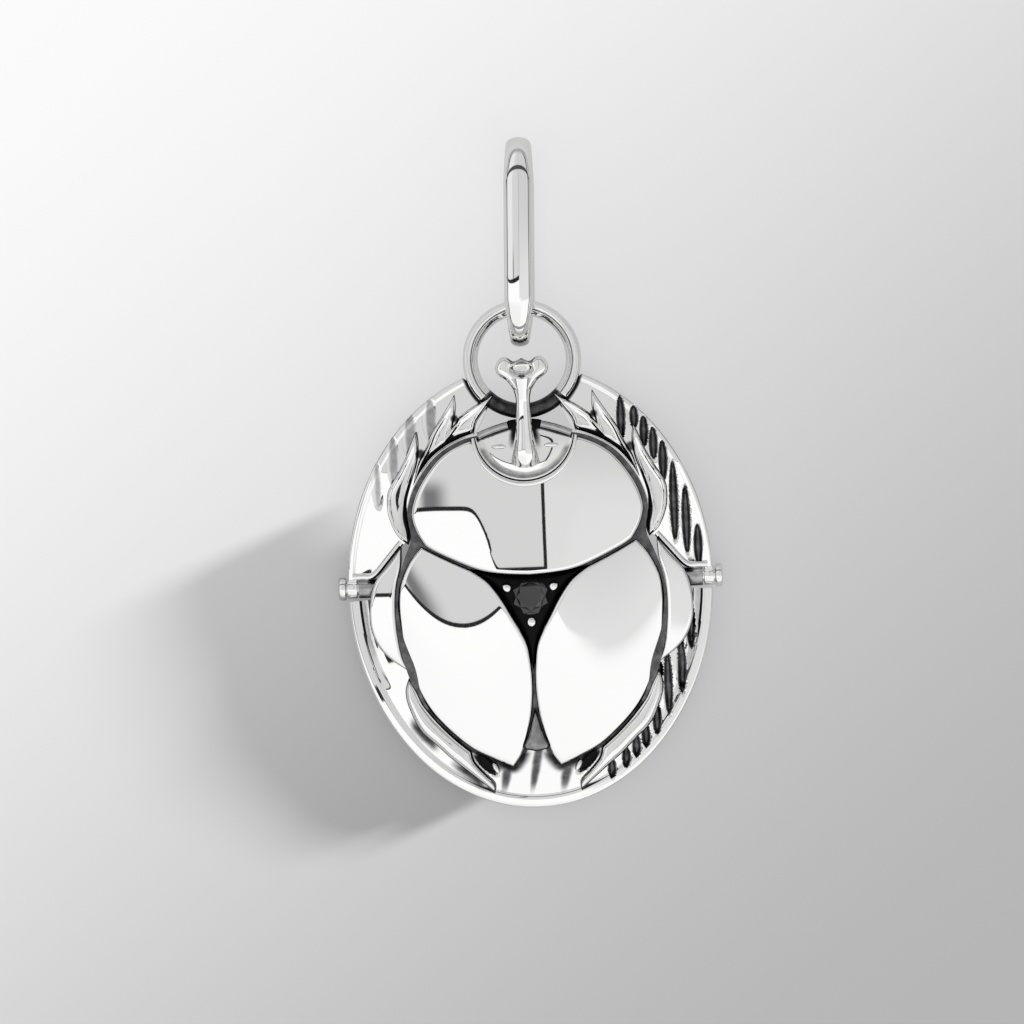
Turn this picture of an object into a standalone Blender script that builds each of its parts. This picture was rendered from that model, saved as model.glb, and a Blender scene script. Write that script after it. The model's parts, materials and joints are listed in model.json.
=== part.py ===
"""Scarab amulet in silver: a ribbed yoke with an eye and a bail, and a scarab that swings in it on two pins.

It lies on its back: +Y runs from the tail to the bail, +X to the right and +Z out of the beetle's back.
The origin is on the surface it lies on, under the middle of the line through the pins.
All sizes are in millimetres, and MM turns them into Blender's metres as a mesh is made.
"""

import math

import bmesh
import bpy
from mathutils import Matrix, Vector

MM = 0.001

# The beetle, drawn at DRAWN_LENGTH from the front of its shield to its wing tips and scaled to BEETLE_LENGTH
BEETLE_LENGTH = 30.7
DRAWN_LENGTH = 30.7
FIGURE = BEETLE_LENGTH / DRAWN_LENGTH

# The oval: the dish makes its lower half and the yoke its upper half
LEG_REACH = 15.6 * FIGURE
CHANNEL_WIDTH = 0.9
RIM_BAND = 0.9
OVAL_HALF_WIDTH = LEG_REACH + CHANNEL_WIDTH + RIM_BAND
DISH_DROP = 21.5
YOKE_RISE = 20.8
PLATE_THICKNESS = 1.1
RIM_SOFTENING = 0.15
CHANNEL_DEPTH = 0.5
RIB_DEPTH = 0.5
RIB_WIDTH = 0.85
RIB_LIFT = 0.1
RIB_END_GAP = 0.35
RIB_OVERLAP = 0.4
YOKE_RIM_BAND = 0.5
YOKE_FIRST_ANGLE = 2.3
YOKE_LAST_ANGLE = 71
RAIL_RADIUS = 0.33
RAIL_ROOM = 1.1

# The pins, their lugs on the yoke and the knuckles of the scarab between them
PIN_HEIGHT = 1.6
PIN_RADIUS = 0.55
PIN_CLEARANCE = 0.06
PIN_HEAD_RADIUS = 1.1
PIN_HEAD_LENGTH = 0.75
PIN_HEAD_ROUNDING = 0.25
PIN_DEPTH = 3.2
PIN_END_GAP = 0.25
LUG_RADIUS = 0.95
LUG_WIDTH = 0.95
KNUCKLE_LENGTH = 1.9
SIDE_GAP = 0.1
TURNING_GAP = 0.15
RIM_GAP = 0.3

# Heights above the surface that the amulet lies on. The legs and the yoke rise from the top of the plate
PLATE_TOP = PIN_HEIGHT + PLATE_THICKNESS
CORE_TOP = PLATE_TOP + 0.7
CORE_SHOULDER = 0.6
SHIELD_EDGE = CORE_TOP + 0.5
SHIELD_CROWN = SHIELD_EDGE + 2.5
WING_EDGE = CORE_TOP + 0.4
WING_CROWN = WING_EDGE + 2.3
LEG_EDGE = PLATE_TOP + 0.5
LEG_CROWN = LEG_EDGE + 1.1
HIND_LEG_CROWN = LEG_EDGE + 0.8
LEG_ROOT = 0.3
FRONT_LEG_EDGE = PLATE_TOP + 0.6
FRONT_LEG_CROWN = FRONT_LEG_EDGE + 1.0
HEAD_TOP = CORE_TOP + 0.6
NOTCH_FLOOR = CORE_TOP + 0.65
SETTING_TOP = CORE_TOP + 0.9
YOKE_SHOULDER = PLATE_TOP + 0.4

# The eye with its collar, and the bail that hangs in it
EYE_INNER_RADIUS = 4.2
EYE_WIRE = 1.45
EYE_OUTER_RADIUS = EYE_INNER_RADIUS + EYE_WIRE
EYE_HEIGHT = PLATE_TOP + 0.45
HEAD_TO_EYE_GAP = 0.25
COLLAR_RADIUS = 0.5
COLLAR_LIFT = 0.75
COLLAR_END = -43.0
BAIL_LENGTH = 20.3
BAIL_DEPTH = 9.0
BAIL_WIDTH = 2.7
BAIL_THICKNESS = 1.6
BAIL_TIP_SHARE = 0.66
BAIL_TOP_SHARE = 0.88
BAIL_PLAY = 2.0
BAIL_LEAN = 1.7

# The stone in its setting, and the horn
STONE_RADIUS = 1.75
STONE_SEAT_GAP = 0.06
STONE_GIRDLE = SETTING_TOP + 0.25
STONE_CROWN = 0.6
STONE_PAVILION = 1.3
STONE_TIP = 0.05
GIRDLE_WIDTH = 0.16
TABLE_SHARE = 0.58
STONE_PLACE = (0.0, -1.35 * FIGURE)
BEAD_RADIUS = 0.47
BEAD_TO_SEAT_GAP = 0.15
BEAD_LIFT = 0.2
GABLE_BAR_RADIUS = 0.3
HORN_RADIUS = 0.74
HORN_TO_EYE_GAP = 0.45
NOTCH_RADIUS = 5.05 * FIGURE
NOTCH_CENTRE = (0.0, 14.55 * FIGURE)
NOTCH_RAIL = 0.36

# How finely round things are faceted
PIN_SIDES = 12
STONE_SIDES = 12
NOTCH_SIDES = 32
BAIL_STEPS = 13
RIBS_A_SIDE = 8
YOKE_FOOT_POINTS = 8
BODY_RINGS = (0.97, 0.88, 0.7, 0.4, 0.12)
EYE_SIDES = 26
OVAL_SIDES = 36

HEAD_FRONT = 15.4 * FIGURE
EYE_CENTRE = (0.0, HEAD_FRONT + HEAD_TO_EYE_GAP + EYE_OUTER_RADIUS)
EYE_TOP = EYE_HEIGHT + EYE_WIRE / 2
HORN_HEIGHT = EYE_TOP + HORN_TO_EYE_GAP + HORN_RADIUS
LUG_OUTER = OVAL_HALF_WIDTH + 0.1
LUG_INNER = LUG_OUTER - LUG_WIDTH


def drawn(*points):
    """Points of the beetle's drawing, at the beetle's real size."""
    return [(x * FIGURE, y * FIGURE) for x, y in points]


def smooth(points, pieces):
    """A Catmull-Rom curve through the points, each span in so many pieces, without the last point."""
    padded = [points[0], *points, points[-1]]
    run = []
    for a, b, c, d in zip(padded, padded[1:], padded[2:], padded[3:]):
        for k in range(pieces):
            t = k / pieces
            run.append(
                tuple(
                    b[i] + t / 2 * (c[i] - a[i] + t * (2 * a[i] - 5 * b[i] + 4 * c[i] - d[i]
                                                       + t * (3 * (b[i] - c[i]) + d[i] - a[i])))
                    for i in range(len(b))
                )
            )
    return run


def outline(*strokes, pieces=2):
    """A closed outline of smooth strokes that meet in corners, each starting where the last one ends."""
    return [point for stroke in strokes for point in smooth(drawn(*stroke), pieces)]


def both_sides(right_half):
    """A right half that starts and ends on the middle line, closed by its mirror image."""
    return right_half + [(-x, y) for x, y in reversed(right_half) if x > 1e-6]


def mirrored(points):
    return [(-x, *rest) for x, *rest in points]


def evenly(first, last, count):
    """So many numbers at an even pitch, from the first to the last."""
    return [first + (last - first) * k / (count - 1) for k in range(count)]


def around(centre, radius, degrees):
    """The point of a circle at an angle."""
    angle = math.radians(degrees)
    return (centre[0] + radius * math.cos(angle), centre[1] + radius * math.sin(angle))


def ellipse_point(angle, rise):
    """A point of the oval, rise being its half height above or below the pins."""
    return (OVAL_HALF_WIDTH * math.cos(angle), rise * math.sin(angle))


def oval_height(x, rise):
    return rise * math.sqrt(max(0.0, 1 - (x / OVAL_HALF_WIDTH) ** 2))


def highest(closed_points, x, otherwise):
    """The greatest y at which an outline crosses the line at x."""
    found = [
        a[1] + (b[1] - a[1]) * (x - a[0]) / (b[0] - a[0])
        for a, b in zip(closed_points, closed_points[1:] + closed_points[:1])
        if (a[0] - x) * (b[0] - x) < 0
    ]
    return max(found, default=otherwise)


def lowest(closed_points, x, otherwise):
    flipped = [(a, -b) for a, b in closed_points]
    return -highest(flipped, x, -otherwise)


def nearest_on(spine, point):
    """The point of an open run of straight lines that lies nearest to another point."""
    best = None
    for a, b in zip(spine, spine[1:]):
        line = Vector(b) - Vector(a)
        share = (Vector(point) - Vector(a)).dot(line) / line.length_squared
        foot = tuple(Vector(a) + line * min(1.0, max(0.0, share)))
        gap = math.dist(foot, point)
        if best is None or gap < best[0]:
            best = (gap, foot)
    return best[1]


# Collections and materials


def clear_scene():
    for thing in list(bpy.data.objects):
        bpy.data.objects.remove(thing, do_unlink=True)


def new_collection(name):
    collection = bpy.data.collections.new(name)
    bpy.context.scene.collection.children.link(collection)
    return collection


def new_material(name, colour, metallic, roughness):
    material = bpy.data.materials.new(name)
    material.use_nodes = True
    shader = material.node_tree.nodes["Principled BSDF"]
    shader.inputs["Base Color"].default_value = (*colour, 1.0)
    shader.inputs["Metallic"].default_value = metallic
    shader.inputs["Roughness"].default_value = roughness
    return material


clear_scene()
AMULET = new_collection("scarab_amulet")
SHAPES = new_collection("joined_and_cutting_shapes")
SILVER = new_material("polished_silver", (0.88, 0.88, 0.87), 1.0, 0.12)
BLACK_STONE = new_material("black_stone", (0.01, 0.01, 0.012), 0.0, 0.08)


# Solids


def add_object(name, mesh, collection=SHAPES):
    thing = bpy.data.objects.new(name, mesh)
    collection.objects.link(thing)
    if collection is SHAPES:
        thing.hide_render = True
        thing.display_type = "WIRE"
    return thing


def close(name, work):
    """Turns a bmesh in millimetres into an object in metres, with its faces pointing out."""
    bmesh.ops.recalc_face_normals(work, faces=work.faces)
    bmesh.ops.scale(work, vec=(MM, MM, MM), verts=work.verts)
    mesh = bpy.data.meshes.new(name)
    work.to_mesh(mesh)
    work.free()
    return add_object(name, mesh)


def loft(name, rings):
    """A closed solid through rings of as many points each, with a flat cap on the first and the last."""
    work = bmesh.new()
    loops = [[work.verts.new(point) for point in ring] for ring in rings]
    for low, high in zip(loops, loops[1:]):
        for k in range(len(low)):
            work.faces.new((low[k - 1], low[k], high[k], high[k - 1]))
    work.faces.new(loops[0])
    work.faces.new(loops[-1])
    return close(name, work)


def shrunk(points, spine, share, height):
    """The outline drawn in towards a spine, share 1 being the outline itself, all at one height."""
    ring = []
    for point in points:
        foot = Vector(nearest_on(spine, point))
        ring.append((*foot.lerp(point, share), height))
    return ring


def dome(name, points, spine, floor, edge, crown, shares=(0.85, 0.45)):
    """A plate with upright sides from floor to edge, and a top that rises round to its spine at the crown."""
    rings = [shrunk(points, spine, 1.0, floor), shrunk(points, spine, 1.0, edge)]
    for share in shares:
        rise = (1 - share**2.2) ** 0.6
        rings.append(shrunk(points, spine, share, edge + (crown - edge) * rise))
    return loft(name, rings)


def cylinder_along(name, start, end, radius, sides=PIN_SIDES):
    """A round bar between two points."""
    work = bmesh.new()
    start, end = Vector(start), Vector(end)
    turn = (end - start).to_track_quat("Z", "Y").to_matrix().to_4x4()
    place = Matrix.Translation((start + end) / 2) @ turn
    bmesh.ops.create_cone(work, cap_ends=True, segments=sides, radius1=radius, radius2=radius,
                          depth=(end - start).length, matrix=place)
    return close(name, work)


def ball(name, centre, radii, sides=8, rings=4):
    work = bmesh.new()
    place = Matrix.Translation(centre) @ Matrix.Diagonal((*radii, 1.0))
    bmesh.ops.create_uvsphere(work, u_segments=sides, v_segments=rings, radius=1.0, matrix=place)
    return close(name, work)


def tube(name, path, radius, shares=None, closed=False, sideways=1.0, fineness=2):
    """A wire along a path. Shares thin it point by point, and sideways widens it along X."""
    curve = bpy.data.curves.new(name, "CURVE")
    curve.dimensions = "3D"
    curve.bevel_depth = radius * MM
    curve.bevel_resolution = fineness
    curve.use_fill_caps = not closed
    spline = curve.splines.new("POLY")
    spline.points.add(len(path) - 1)
    spline.use_cyclic_u = closed
    for place, (x, y, z), share in zip(spline.points, path, shares or [1.0] * len(path)):
        place.co = (x * MM, y * MM, z * MM, 1.0)
        place.radius = share
    guide = bpy.data.objects.new(name, curve)
    SHAPES.objects.link(guide)
    bpy.context.view_layer.update()
    solid = bpy.data.meshes.new_from_object(guide.evaluated_get(bpy.context.evaluated_depsgraph_get()))
    bpy.data.objects.remove(guide)
    work = bmesh.new()
    work.from_mesh(solid)
    bmesh.ops.remove_doubles(work, verts=work.verts, dist=1e-7)
    bmesh.ops.scale(work, vec=(sideways, 1.0, 1.0), verts=work.verts)
    bmesh.ops.recalc_face_normals(work, faces=work.faces)
    work.to_mesh(solid)
    work.free()
    return add_object(name, solid)


def combine(target, others, operation):
    for other in others:
        step = target.modifiers.new(f"{operation.lower()} {other.name}", "BOOLEAN")
        step.operation = operation
        step.object = other


def present(name, solid, material):
    """Makes a finished solid one of the amulet's own pieces."""
    SHAPES.objects.unlink(solid)
    AMULET.objects.link(solid)
    solid.name = name
    solid.hide_render = False
    solid.display_type = "TEXTURED"
    solid.data.materials.clear()
    solid.data.materials.append(material)
    solid.data.shade_smooth()
    solid.data.set_sharp_from_angle(angle=math.radians(35))


def pair(make):
    """The same shape for the right side and the left, made by a function of the side's sign."""
    return [make(1), make(-1)]


def on_side(points, side):
    return points if side > 0 else mirrored(points)


# Outlines of the beetle, right side


SHIELD = both_sides(
    outline(
        [(0.0, 0.4), (3.3, 0.95), (6.9, 2.2), (9.85, 3.55)],
        [(9.85, 3.55), (10.75, 4.9), (11.1, 6.9), (10.75, 9.1), (9.6, 10.95), (7.6, 12.35), (4.6, 13.3),
         (0.0, 13.6)],
        pieces=3,
    )
)
WING = outline(
    [(0.15, -7.4), (0.75, -5.1), (2.2, -2.45), (3.6, -0.6), (5.45, 1.0)],
    [(5.45, 1.0), (7.6, 1.9), (10.05, 3.2)],
    [(10.05, 3.2), (11.6, 1.85), (12.4, -0.35), (12.65, -2.9), (12.3, -6.0), (11.6, -9.1), (10.2, -11.9),
     (7.9, -14.4), (2.5, -17.5)],
    [(2.5, -17.5), (1.25, -15.8), (0.35, -13.1), (0.15, -10.3), (0.15, -7.4)],
)
MIDDLE_LEG = outline(
    [(12.1, 3.2), (13.6, 1.9), (15.0, 0.2), (15.55, -1.6), (15.58, -3.2), (15.1, -5.1), (14.2, -6.6),
     (11.8, -8.25)],
    [(11.8, -8.25), (12.4, -5.9), (12.75, -3.0), (12.5, -0.3), (12.1, 3.2)],
)
HIND_LEG = outline(
    [(12.2, -8.6), (12.45, -10.3), (12.2, -12.0), (11.2, -14.1), (9.1, -16.3), (6.7, -18.4), (4.2, -20.1)],
    [(4.2, -20.1), (5.0, -17.4), (6.3, -15.8), (8.2, -14.0), (10.2, -11.9), (11.4, -9.4), (12.2, -8.6)],
)
FRONT_LEG_BARBS = [
    (
        outline(
            [(12.0, 3.7), (13.0, 5.4), (13.35, 7.3), (13.2, 8.8), (12.3, 11.2), (11.1, 13.2), (10.35, 14.75)],
            [(10.35, 14.75), (9.9, 13.9), (9.9, 12.3)],
            [(9.9, 12.3), (11.3, 10.2), (11.95, 7.8), (11.85, 5.6), (12.0, 3.7)],
        ),
        drawn((12.2, 5.0), (12.5, 8.0), (11.4, 11.0), (10.5, 13.2)),
    ),
    (
        outline(
            [(11.6, 10.0), (9.8, 12.3), (8.6, 14.7), (7.5, 16.5), (6.45, 18.2)],
            [(6.45, 18.2), (6.25, 17.2), (6.6, 15.4), (8.3, 13.0), (11.6, 10.0)],
        ),
        drawn((9.9, 12.0), (8.2, 14.2), (7.2, 16.0)),
    ),
    (
        outline(
            [(9.8, 12.1), (7.8, 14.3), (6.4, 15.8), (4.7, 16.9), (2.75, 18.15)],
            [(2.75, 18.15), (3.6, 16.4), (4.95, 14.2)],
            [(4.95, 14.2), (7.4, 13.5), (9.8, 12.1)],
        ),
        drawn((8.2, 13.2), (6.2, 14.6), (4.2, 16.2)),
    ),
]
YOKE_INNER_EDGE = smooth(
    drawn((16.45, 0.85), (15.05, 1.0), (13.4, 2.6), (12.05, 4.1), (11.9, 6.0), (11.95, 7.9), (11.4, 9.9),
          (10.1, 11.8), (8.0, 13.2), (4.95, 14.3), (3.7, 16.3), (3.0, 17.8)),
    2,
)
SETTING = both_sides(
    outline(
        [(0.0, -7.3), (0.6, -5.0), (2.0, -2.3), (3.6, -0.3), (5.6, 1.45)],
        [(5.6, 1.45), (2.8, 0.95), (0.0, 0.9)],
    )
)
HORN_CUP = both_sides(
    outline(
        [(0.0, 18.0), (0.8, 18.35), (1.5, 19.5), (2.35, 20.0), (2.45, 20.7), (1.75, 21.45), (0.95, 21.1),
         (0.0, 21.45)]
    )
)


# The yoke with its eye


def yoke_arm(side):
    """The ribbed plate of one arm: sections from the beetle's side to the rim, from the lug up to the eye."""
    turn = (YOKE_LAST_ANGLE - YOKE_FIRST_ANGLE) / (len(YOKE_INNER_EDGE) - 1)
    rings = []
    for k, inner in enumerate(YOKE_INNER_EDGE):
        outer = ellipse_point(math.radians(YOKE_FIRST_ANGLE + turn * k), YOKE_RISE)
        width = math.dist(inner, outer)
        rim = 1 - YOKE_RIM_BAND / width
        section = [(0.0, PIN_HEIGHT), (0.0, YOKE_SHOULDER), (0.4, YOKE_SHOULDER - 0.2),
                   (rim - 0.08, PLATE_TOP - 0.25), (rim, PLATE_TOP), (1 - RIM_SOFTENING / width, PLATE_TOP),
                   (1.0, PLATE_TOP - RIM_SOFTENING), (1.0, PIN_HEIGHT)]
        ring = [(*Vector(inner).lerp(outer, share), height) for share, height in section]
        rings.append(on_side(ring, side))
    return loft("yoke_arm", rings)


def rib_groove(x, low_y, high_y):
    """The cutter of one spindle-shaped groove, pointed at both ends."""
    centre = (x, (low_y + high_y) / 2, PLATE_TOP + RIB_LIFT)
    return ball("rib_groove", centre, (RIB_WIDTH / 2, (high_y - low_y) / 2, RIB_DEPTH), sides=4, rings=4)


def yoke_grooves(side):
    """Grooves at an even pitch, each from the front leg or the yoke's lower edge up to the rim."""
    cutters = []
    for x in evenly(9.2 * FIGURE, 16.0 * FIGURE, RIBS_A_SIDE):
        edge = highest(YOKE_INNER_EDGE[:YOKE_FOOT_POINTS], x, 0.0) + RAIL_ROOM
        foot = max([edge, *(highest(barb, x, 0.0) for barb, _ in FRONT_LEG_BARBS)])
        top = oval_height(x + YOKE_RIM_BAND, YOKE_RISE) - RIB_END_GAP
        if top - foot > RIB_WIDTH:
            cutters.append(rib_groove(side * x, foot, top))
    return cutters


def eye_ring():
    """The eye's round wire."""
    bpy.ops.mesh.primitive_torus_add(
        major_segments=EYE_SIDES, minor_segments=8, major_radius=(EYE_INNER_RADIUS + EYE_WIRE / 2) * MM,
        minor_radius=EYE_WIRE / 2 * MM)
    primitive = bpy.context.object
    mesh = primitive.data
    bpy.data.objects.remove(primitive)
    mesh.transform(Matrix.Translation(Vector((*EYE_CENTRE, EYE_HEIGHT)) * MM))
    return add_object("eye_ring", mesh)


def eye_collar():
    """The raised band on the eye's outer edge, which leaves out the stretch behind the horn."""
    radius = EYE_OUTER_RADIUS - COLLAR_RADIUS
    path = [(*around(EYE_CENTRE, radius, angle), EYE_HEIGHT + COLLAR_LIFT)
            for angle in evenly(COLLAR_END, 180 - COLLAR_END, EYE_SIDES)]
    return tube("eye_collar", path, COLLAR_RADIUS, fineness=1)


def front_leg(side):
    """One toothed front leg, as three barbs that overlap."""
    return [dome("front_leg_barb", on_side(points, side), on_side(spine, side), PIN_HEIGHT + LEG_ROOT,
                 FRONT_LEG_EDGE, FRONT_LEG_CROWN, (0.6,)) for points, spine in FRONT_LEG_BARBS]


def on_the_axis(name, side, inner, outer, radius):
    """A round bar on the pins' axis, between two distances from the middle."""
    return cylinder_along(name, (side * inner, 0, PIN_HEIGHT), (side * outer, 0, PIN_HEIGHT), radius)


def lug(side):
    return on_the_axis("lug", side, LUG_INNER, LUG_OUTER, LUG_RADIUS)


def knuckle_room(side):
    """The cutter that leaves the knuckle room to turn."""
    return on_the_axis("knuckle_room", side, LUG_INNER - KNUCKLE_LENGTH, LUG_INNER, LUG_RADIUS + TURNING_GAP)


def lower_rail(side):
    """The bright rounded edge that runs from the front leg out to the lug."""
    route = smooth(drawn((12.3, 4.3), (13.5, 2.9), (15.1, 1.35), (16.3, 1.35), (17.0, 1.3)), 2)
    path = [(*place, YOKE_SHOULDER - 0.15) for place in route]
    return tube("lower_rail", on_side(path, side), RAIL_RADIUS, fineness=1)


def make_yoke():
    """The horseshoe in one with its front legs and eye, built up on the eye."""
    yoke = eye_ring()
    for side in (1, -1):
        arm = yoke_arm(side)
        combine(arm, yoke_grooves(side), "DIFFERENCE")
        combine(yoke, [arm, *front_leg(side)], "UNION")
    combine(yoke, [eye_collar(), *pair(lower_rail)], "UNION")
    combine(yoke, pair(knuckle_room), "DIFFERENCE")
    combine(yoke, pair(lug), "UNION")
    combine(yoke, pair(pin_hole), "DIFFERENCE")
    present("yoke", yoke, SILVER)


# The pins and the holes that they turn in


def pin_hole(side):
    """The cutter of the hole through the lug and into the knuckle, a little deeper than the pin."""
    tip = LUG_OUTER + SIDE_GAP - PIN_DEPTH
    return on_the_axis("pin_hole", side, tip - PIN_END_GAP, LUG_OUTER + 1, PIN_RADIUS + PIN_CLEARANCE)


def make_pin(name, side):
    """A round rivet: its shaft runs through the lug into the knuckle, and its head is rounded."""
    face = LUG_OUTER + SIDE_GAP
    shaft = on_the_axis(name, side, face - PIN_DEPTH, face + PIN_HEAD_LENGTH / 2, PIN_RADIUS)
    head = on_the_axis("pin_head", side, face, face + PIN_HEAD_LENGTH, PIN_HEAD_RADIUS)
    rounding = head.modifiers.new("rounding", "BEVEL")
    rounding.width = PIN_HEAD_ROUNDING * MM
    rounding.segments = 2
    rounding.angle_limit = math.radians(40)
    combine(shaft, [head], "UNION")
    present(name, shaft, SILVER)


# The bail


def make_bail():
    """An oblong loop that stands across the eye, thinner where it passes through the eye's wire.

    It is loose in the eye, and it leans to the right by BAIL_LEAN degrees.
    """
    radius = (BAIL_DEPTH - BAIL_THICKNESS) / 2
    tip = BAIL_THICKNESS / 2 * BAIL_TIP_SHARE
    low = EYE_CENTRE[1] + EYE_INNER_RADIUS - BAIL_PLAY + radius - tip
    high = low + BAIL_LENGTH - BAIL_DEPTH
    path, shares = [], []
    for middle, first, thinning in ((high, 0, 1 - BAIL_TOP_SHARE), (low, 180, 1 - BAIL_TIP_SHARE)):
        for angle in evenly(first, first + 180, BAIL_STEPS):
            y, z = around((middle, BAIL_DEPTH / 2), radius, 90 - angle)
            path.append((0.0, y, z))
            shares.append(1.0 - thinning * abs(math.sin(math.radians(angle))))
    loop = tube("bail", path, BAIL_THICKNESS / 2, shares, closed=True, sideways=BAIL_WIDTH / BAIL_THICKNESS)
    hangs_at = Matrix.Translation((0.0, (EYE_CENTRE[1] + EYE_INNER_RADIUS) * MM, 0.0))
    lean = Matrix.Rotation(math.radians(-BAIL_LEAN), 4, "Z")
    loop.data.transform(hangs_at @ lean @ hangs_at.inverted())
    present("bail", loop, SILVER)


# The scarab


def make_dish():
    """The lower half of the oval: a flat rim, a channel inside it and a ribbed floor that rises inwards."""
    upper_edge = -(LUG_RADIUS + RIM_GAP)
    first = math.degrees(math.asin(upper_edge / DISH_DROP))
    angles = evenly(first, -180 - first, OVAL_SIDES + 1)
    rim = [ellipse_point(math.radians(angle), DISH_DROP) for angle in angles]
    across = [(share * OVAL_HALF_WIDTH, upper_edge) for share in (-0.75, -0.4, 0.0, 0.4, 0.75)]
    middle = [(0.0, -0.3 * DISH_DROP), (0.0, -0.24 * DISH_DROP)]
    reach = OVAL_HALF_WIDTH
    floor = PLATE_TOP - CHANNEL_DEPTH
    section = [(0.8 * reach, CORE_SHOULDER + 0.3), (0.35 * reach, PIN_HEIGHT), (0.0, PIN_HEIGHT),
               (0.0, PLATE_TOP - RIM_SOFTENING), (RIM_SOFTENING, PLATE_TOP), (RIM_BAND, PLATE_TOP),
               (RIM_BAND + 0.2, floor), (RIM_BAND + CHANNEL_WIDTH, floor + 0.15),
               (0.22 * reach, PLATE_TOP + 0.2), (0.6 * reach, CORE_TOP - 0.3)]
    rings = [shrunk(rim + across, middle, 1 - depth / reach, height) for depth, height in section]
    return loft("dish", rings)


def make_core():
    """The body under the shield and the wing cases, with a bowl-shaped back that ends in a flat to lie on."""
    half = outline(
        [(0.0, -16.9), (2.6, -16.7), (7.6, -14.0), (11.1, -8.8), (12.2, -2.8), (11.4, 1.4), (10.1, 3.2)],
        [(10.1, 3.2), (10.6, 5.2), (10.8, 7.2), (10.3, 9.2), (9.2, 10.8), (7.2, 12.1), (4.3, 13.4)],
        [(4.3, 13.4), (2.9, 14.2), (1.5, 14.7), (0.0, 14.9)],
    )
    edge = both_sides([*half, *drawn((0.0, 14.9))])
    spine = drawn((0.0, 11.0), (0.0, -11.0))
    levels = [(0.55, 0.0), (0.82, CORE_SHOULDER), (1.0, PIN_HEIGHT), (1.0, CORE_TOP)]
    return loft("core", [shrunk(edge, spine, share, height) for share, height in levels])


def dish_grooves(side):
    """Grooves at an even pitch between the legs and the rim."""
    cutters = []
    for x in evenly(5.6 * FIGURE, 14.2 * FIGURE, RIBS_A_SIDE):
        head = min(lowest(HIND_LEG, x, 0.0), lowest(MIDDLE_LEG, x, 0.0)) + RIB_OVERLAP
        foot = -oval_height(x + RIM_BAND, DISH_DROP) + RIB_END_GAP
        if head - foot > RIB_WIDTH:
            cutters.append(rib_groove(side * x, foot, head))
    return cutters


def tail_grooves():
    """Three grooves below the wing tips."""
    return [rib_groove(x * FIGURE, -DISH_DROP + RIM_BAND, -17.6 * FIGURE) for x in (-2.8, -0.2, 2.5)]


def head_plate():
    half = outline(
        [(0.0, 11.0), (2.9, 11.4), (4.4, 12.9), (4.6, 14.15), (2.6, 14.95), (1.3, 15.3), (0.0, 15.4)])
    edge = both_sides([*half, (0.0, HEAD_FRONT)])
    spine = drawn((0.0, 12.4), (0.0, 13.6))
    return dome("head_plate", edge, spine, CORE_TOP - 1.3, CORE_TOP + 0.1, HEAD_TOP)


def gable_bar(side):
    path = [(*place, HEAD_TOP - 0.1) for place in drawn((1.35, 15.1), (2.8, 14.75), (4.45, 14.1))]
    return tube("gable_bar", on_side(path, side), GABLE_BAR_RADIUS, fineness=1)


def beetle_eye(side):
    return ball("beetle_eye", (side * 2.5 * FIGURE, 13.0 * FIGURE, HEAD_TOP), (0.85, 0.4, 0.5))


def make_horn():
    """A forked horn: a waisted stem that leans forward, and a lobed cup hollowed in front."""
    heights = ((11.2, HEAD_TOP - 0.1), (12.2, HEAD_TOP + 0.4), (13.6, HORN_HEIGHT - 0.25),
               (15.6, HORN_HEIGHT - 0.05), (17.6, HORN_HEIGHT + 0.2), (19.3, HORN_HEIGHT + 0.5))
    path = [(0.0, y * FIGURE, z) for y, z in heights]
    stem = tube("horn_stem", path, HORN_RADIUS, [1.7, 1.55, 1.05, 0.95, 0.97, 1.25])
    cup = dome("horn_cup", HORN_CUP, drawn((-1.2, 20.4), (0.0, 19.6), (1.2, 20.4)), HORN_HEIGHT - 0.3,
               HORN_HEIGHT + 0.6, HORN_HEIGHT + 1.2, (0.8, 0.45))
    hollow = ball("cup_hollow", (0.0, 20.6 * FIGURE, HORN_HEIGHT + 1.55), (1.15, 0.75, 0.6))
    combine(stem, [cup], "UNION")
    combine(stem, [hollow], "DIFFERENCE")
    return stem


def make_collar():
    """The bright crescent round the notch of the shield, highest and widest at its lowest point."""
    path, shares = [], []
    for angle in evenly(-172, -8, 12):
        depth = math.sin(math.radians(-angle))
        path.append((*around(NOTCH_CENTRE, NOTCH_RADIUS, angle), NOTCH_FLOOR + 0.1 + 1.6 * depth**0.8))
        shares.append(0.55 + 0.45 * depth)
    return tube("notch_collar", path, NOTCH_RAIL, shares, fineness=1)


def make_shield():
    """The broad dome behind the head, with a round notch cut for the head."""
    spine = drawn((-6.4, 7.6), (0.0, 6.3), (6.4, 7.6))
    shield = dome("shield", SHIELD, spine, CORE_TOP - 0.6, SHIELD_EDGE, SHIELD_CROWN, BODY_RINGS)
    notch = cylinder_along("notch", (*NOTCH_CENTRE, NOTCH_FLOOR), (*NOTCH_CENTRE, SHIELD_CROWN + 1),
                           NOTCH_RADIUS, NOTCH_SIDES)
    combine(shield, [notch], "DIFFERENCE")
    return shield


def wing(side):
    spine = on_side(drawn((8.0, 0.4), (6.9, -5.5), (3.4, -14.2)), side)
    return dome("wing_case", on_side(WING, side), spine, CORE_TOP - 0.6, WING_EDGE, WING_CROWN, BODY_RINGS)


def middle_leg(side):
    spine = on_side(drawn((13.2, 0.9), (14.15, -2.6), (13.0, -6.6)), side)
    return dome("middle_leg", on_side(MIDDLE_LEG, side), spine, PIN_HEIGHT + 0.15, LEG_EDGE, LEG_CROWN)


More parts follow.
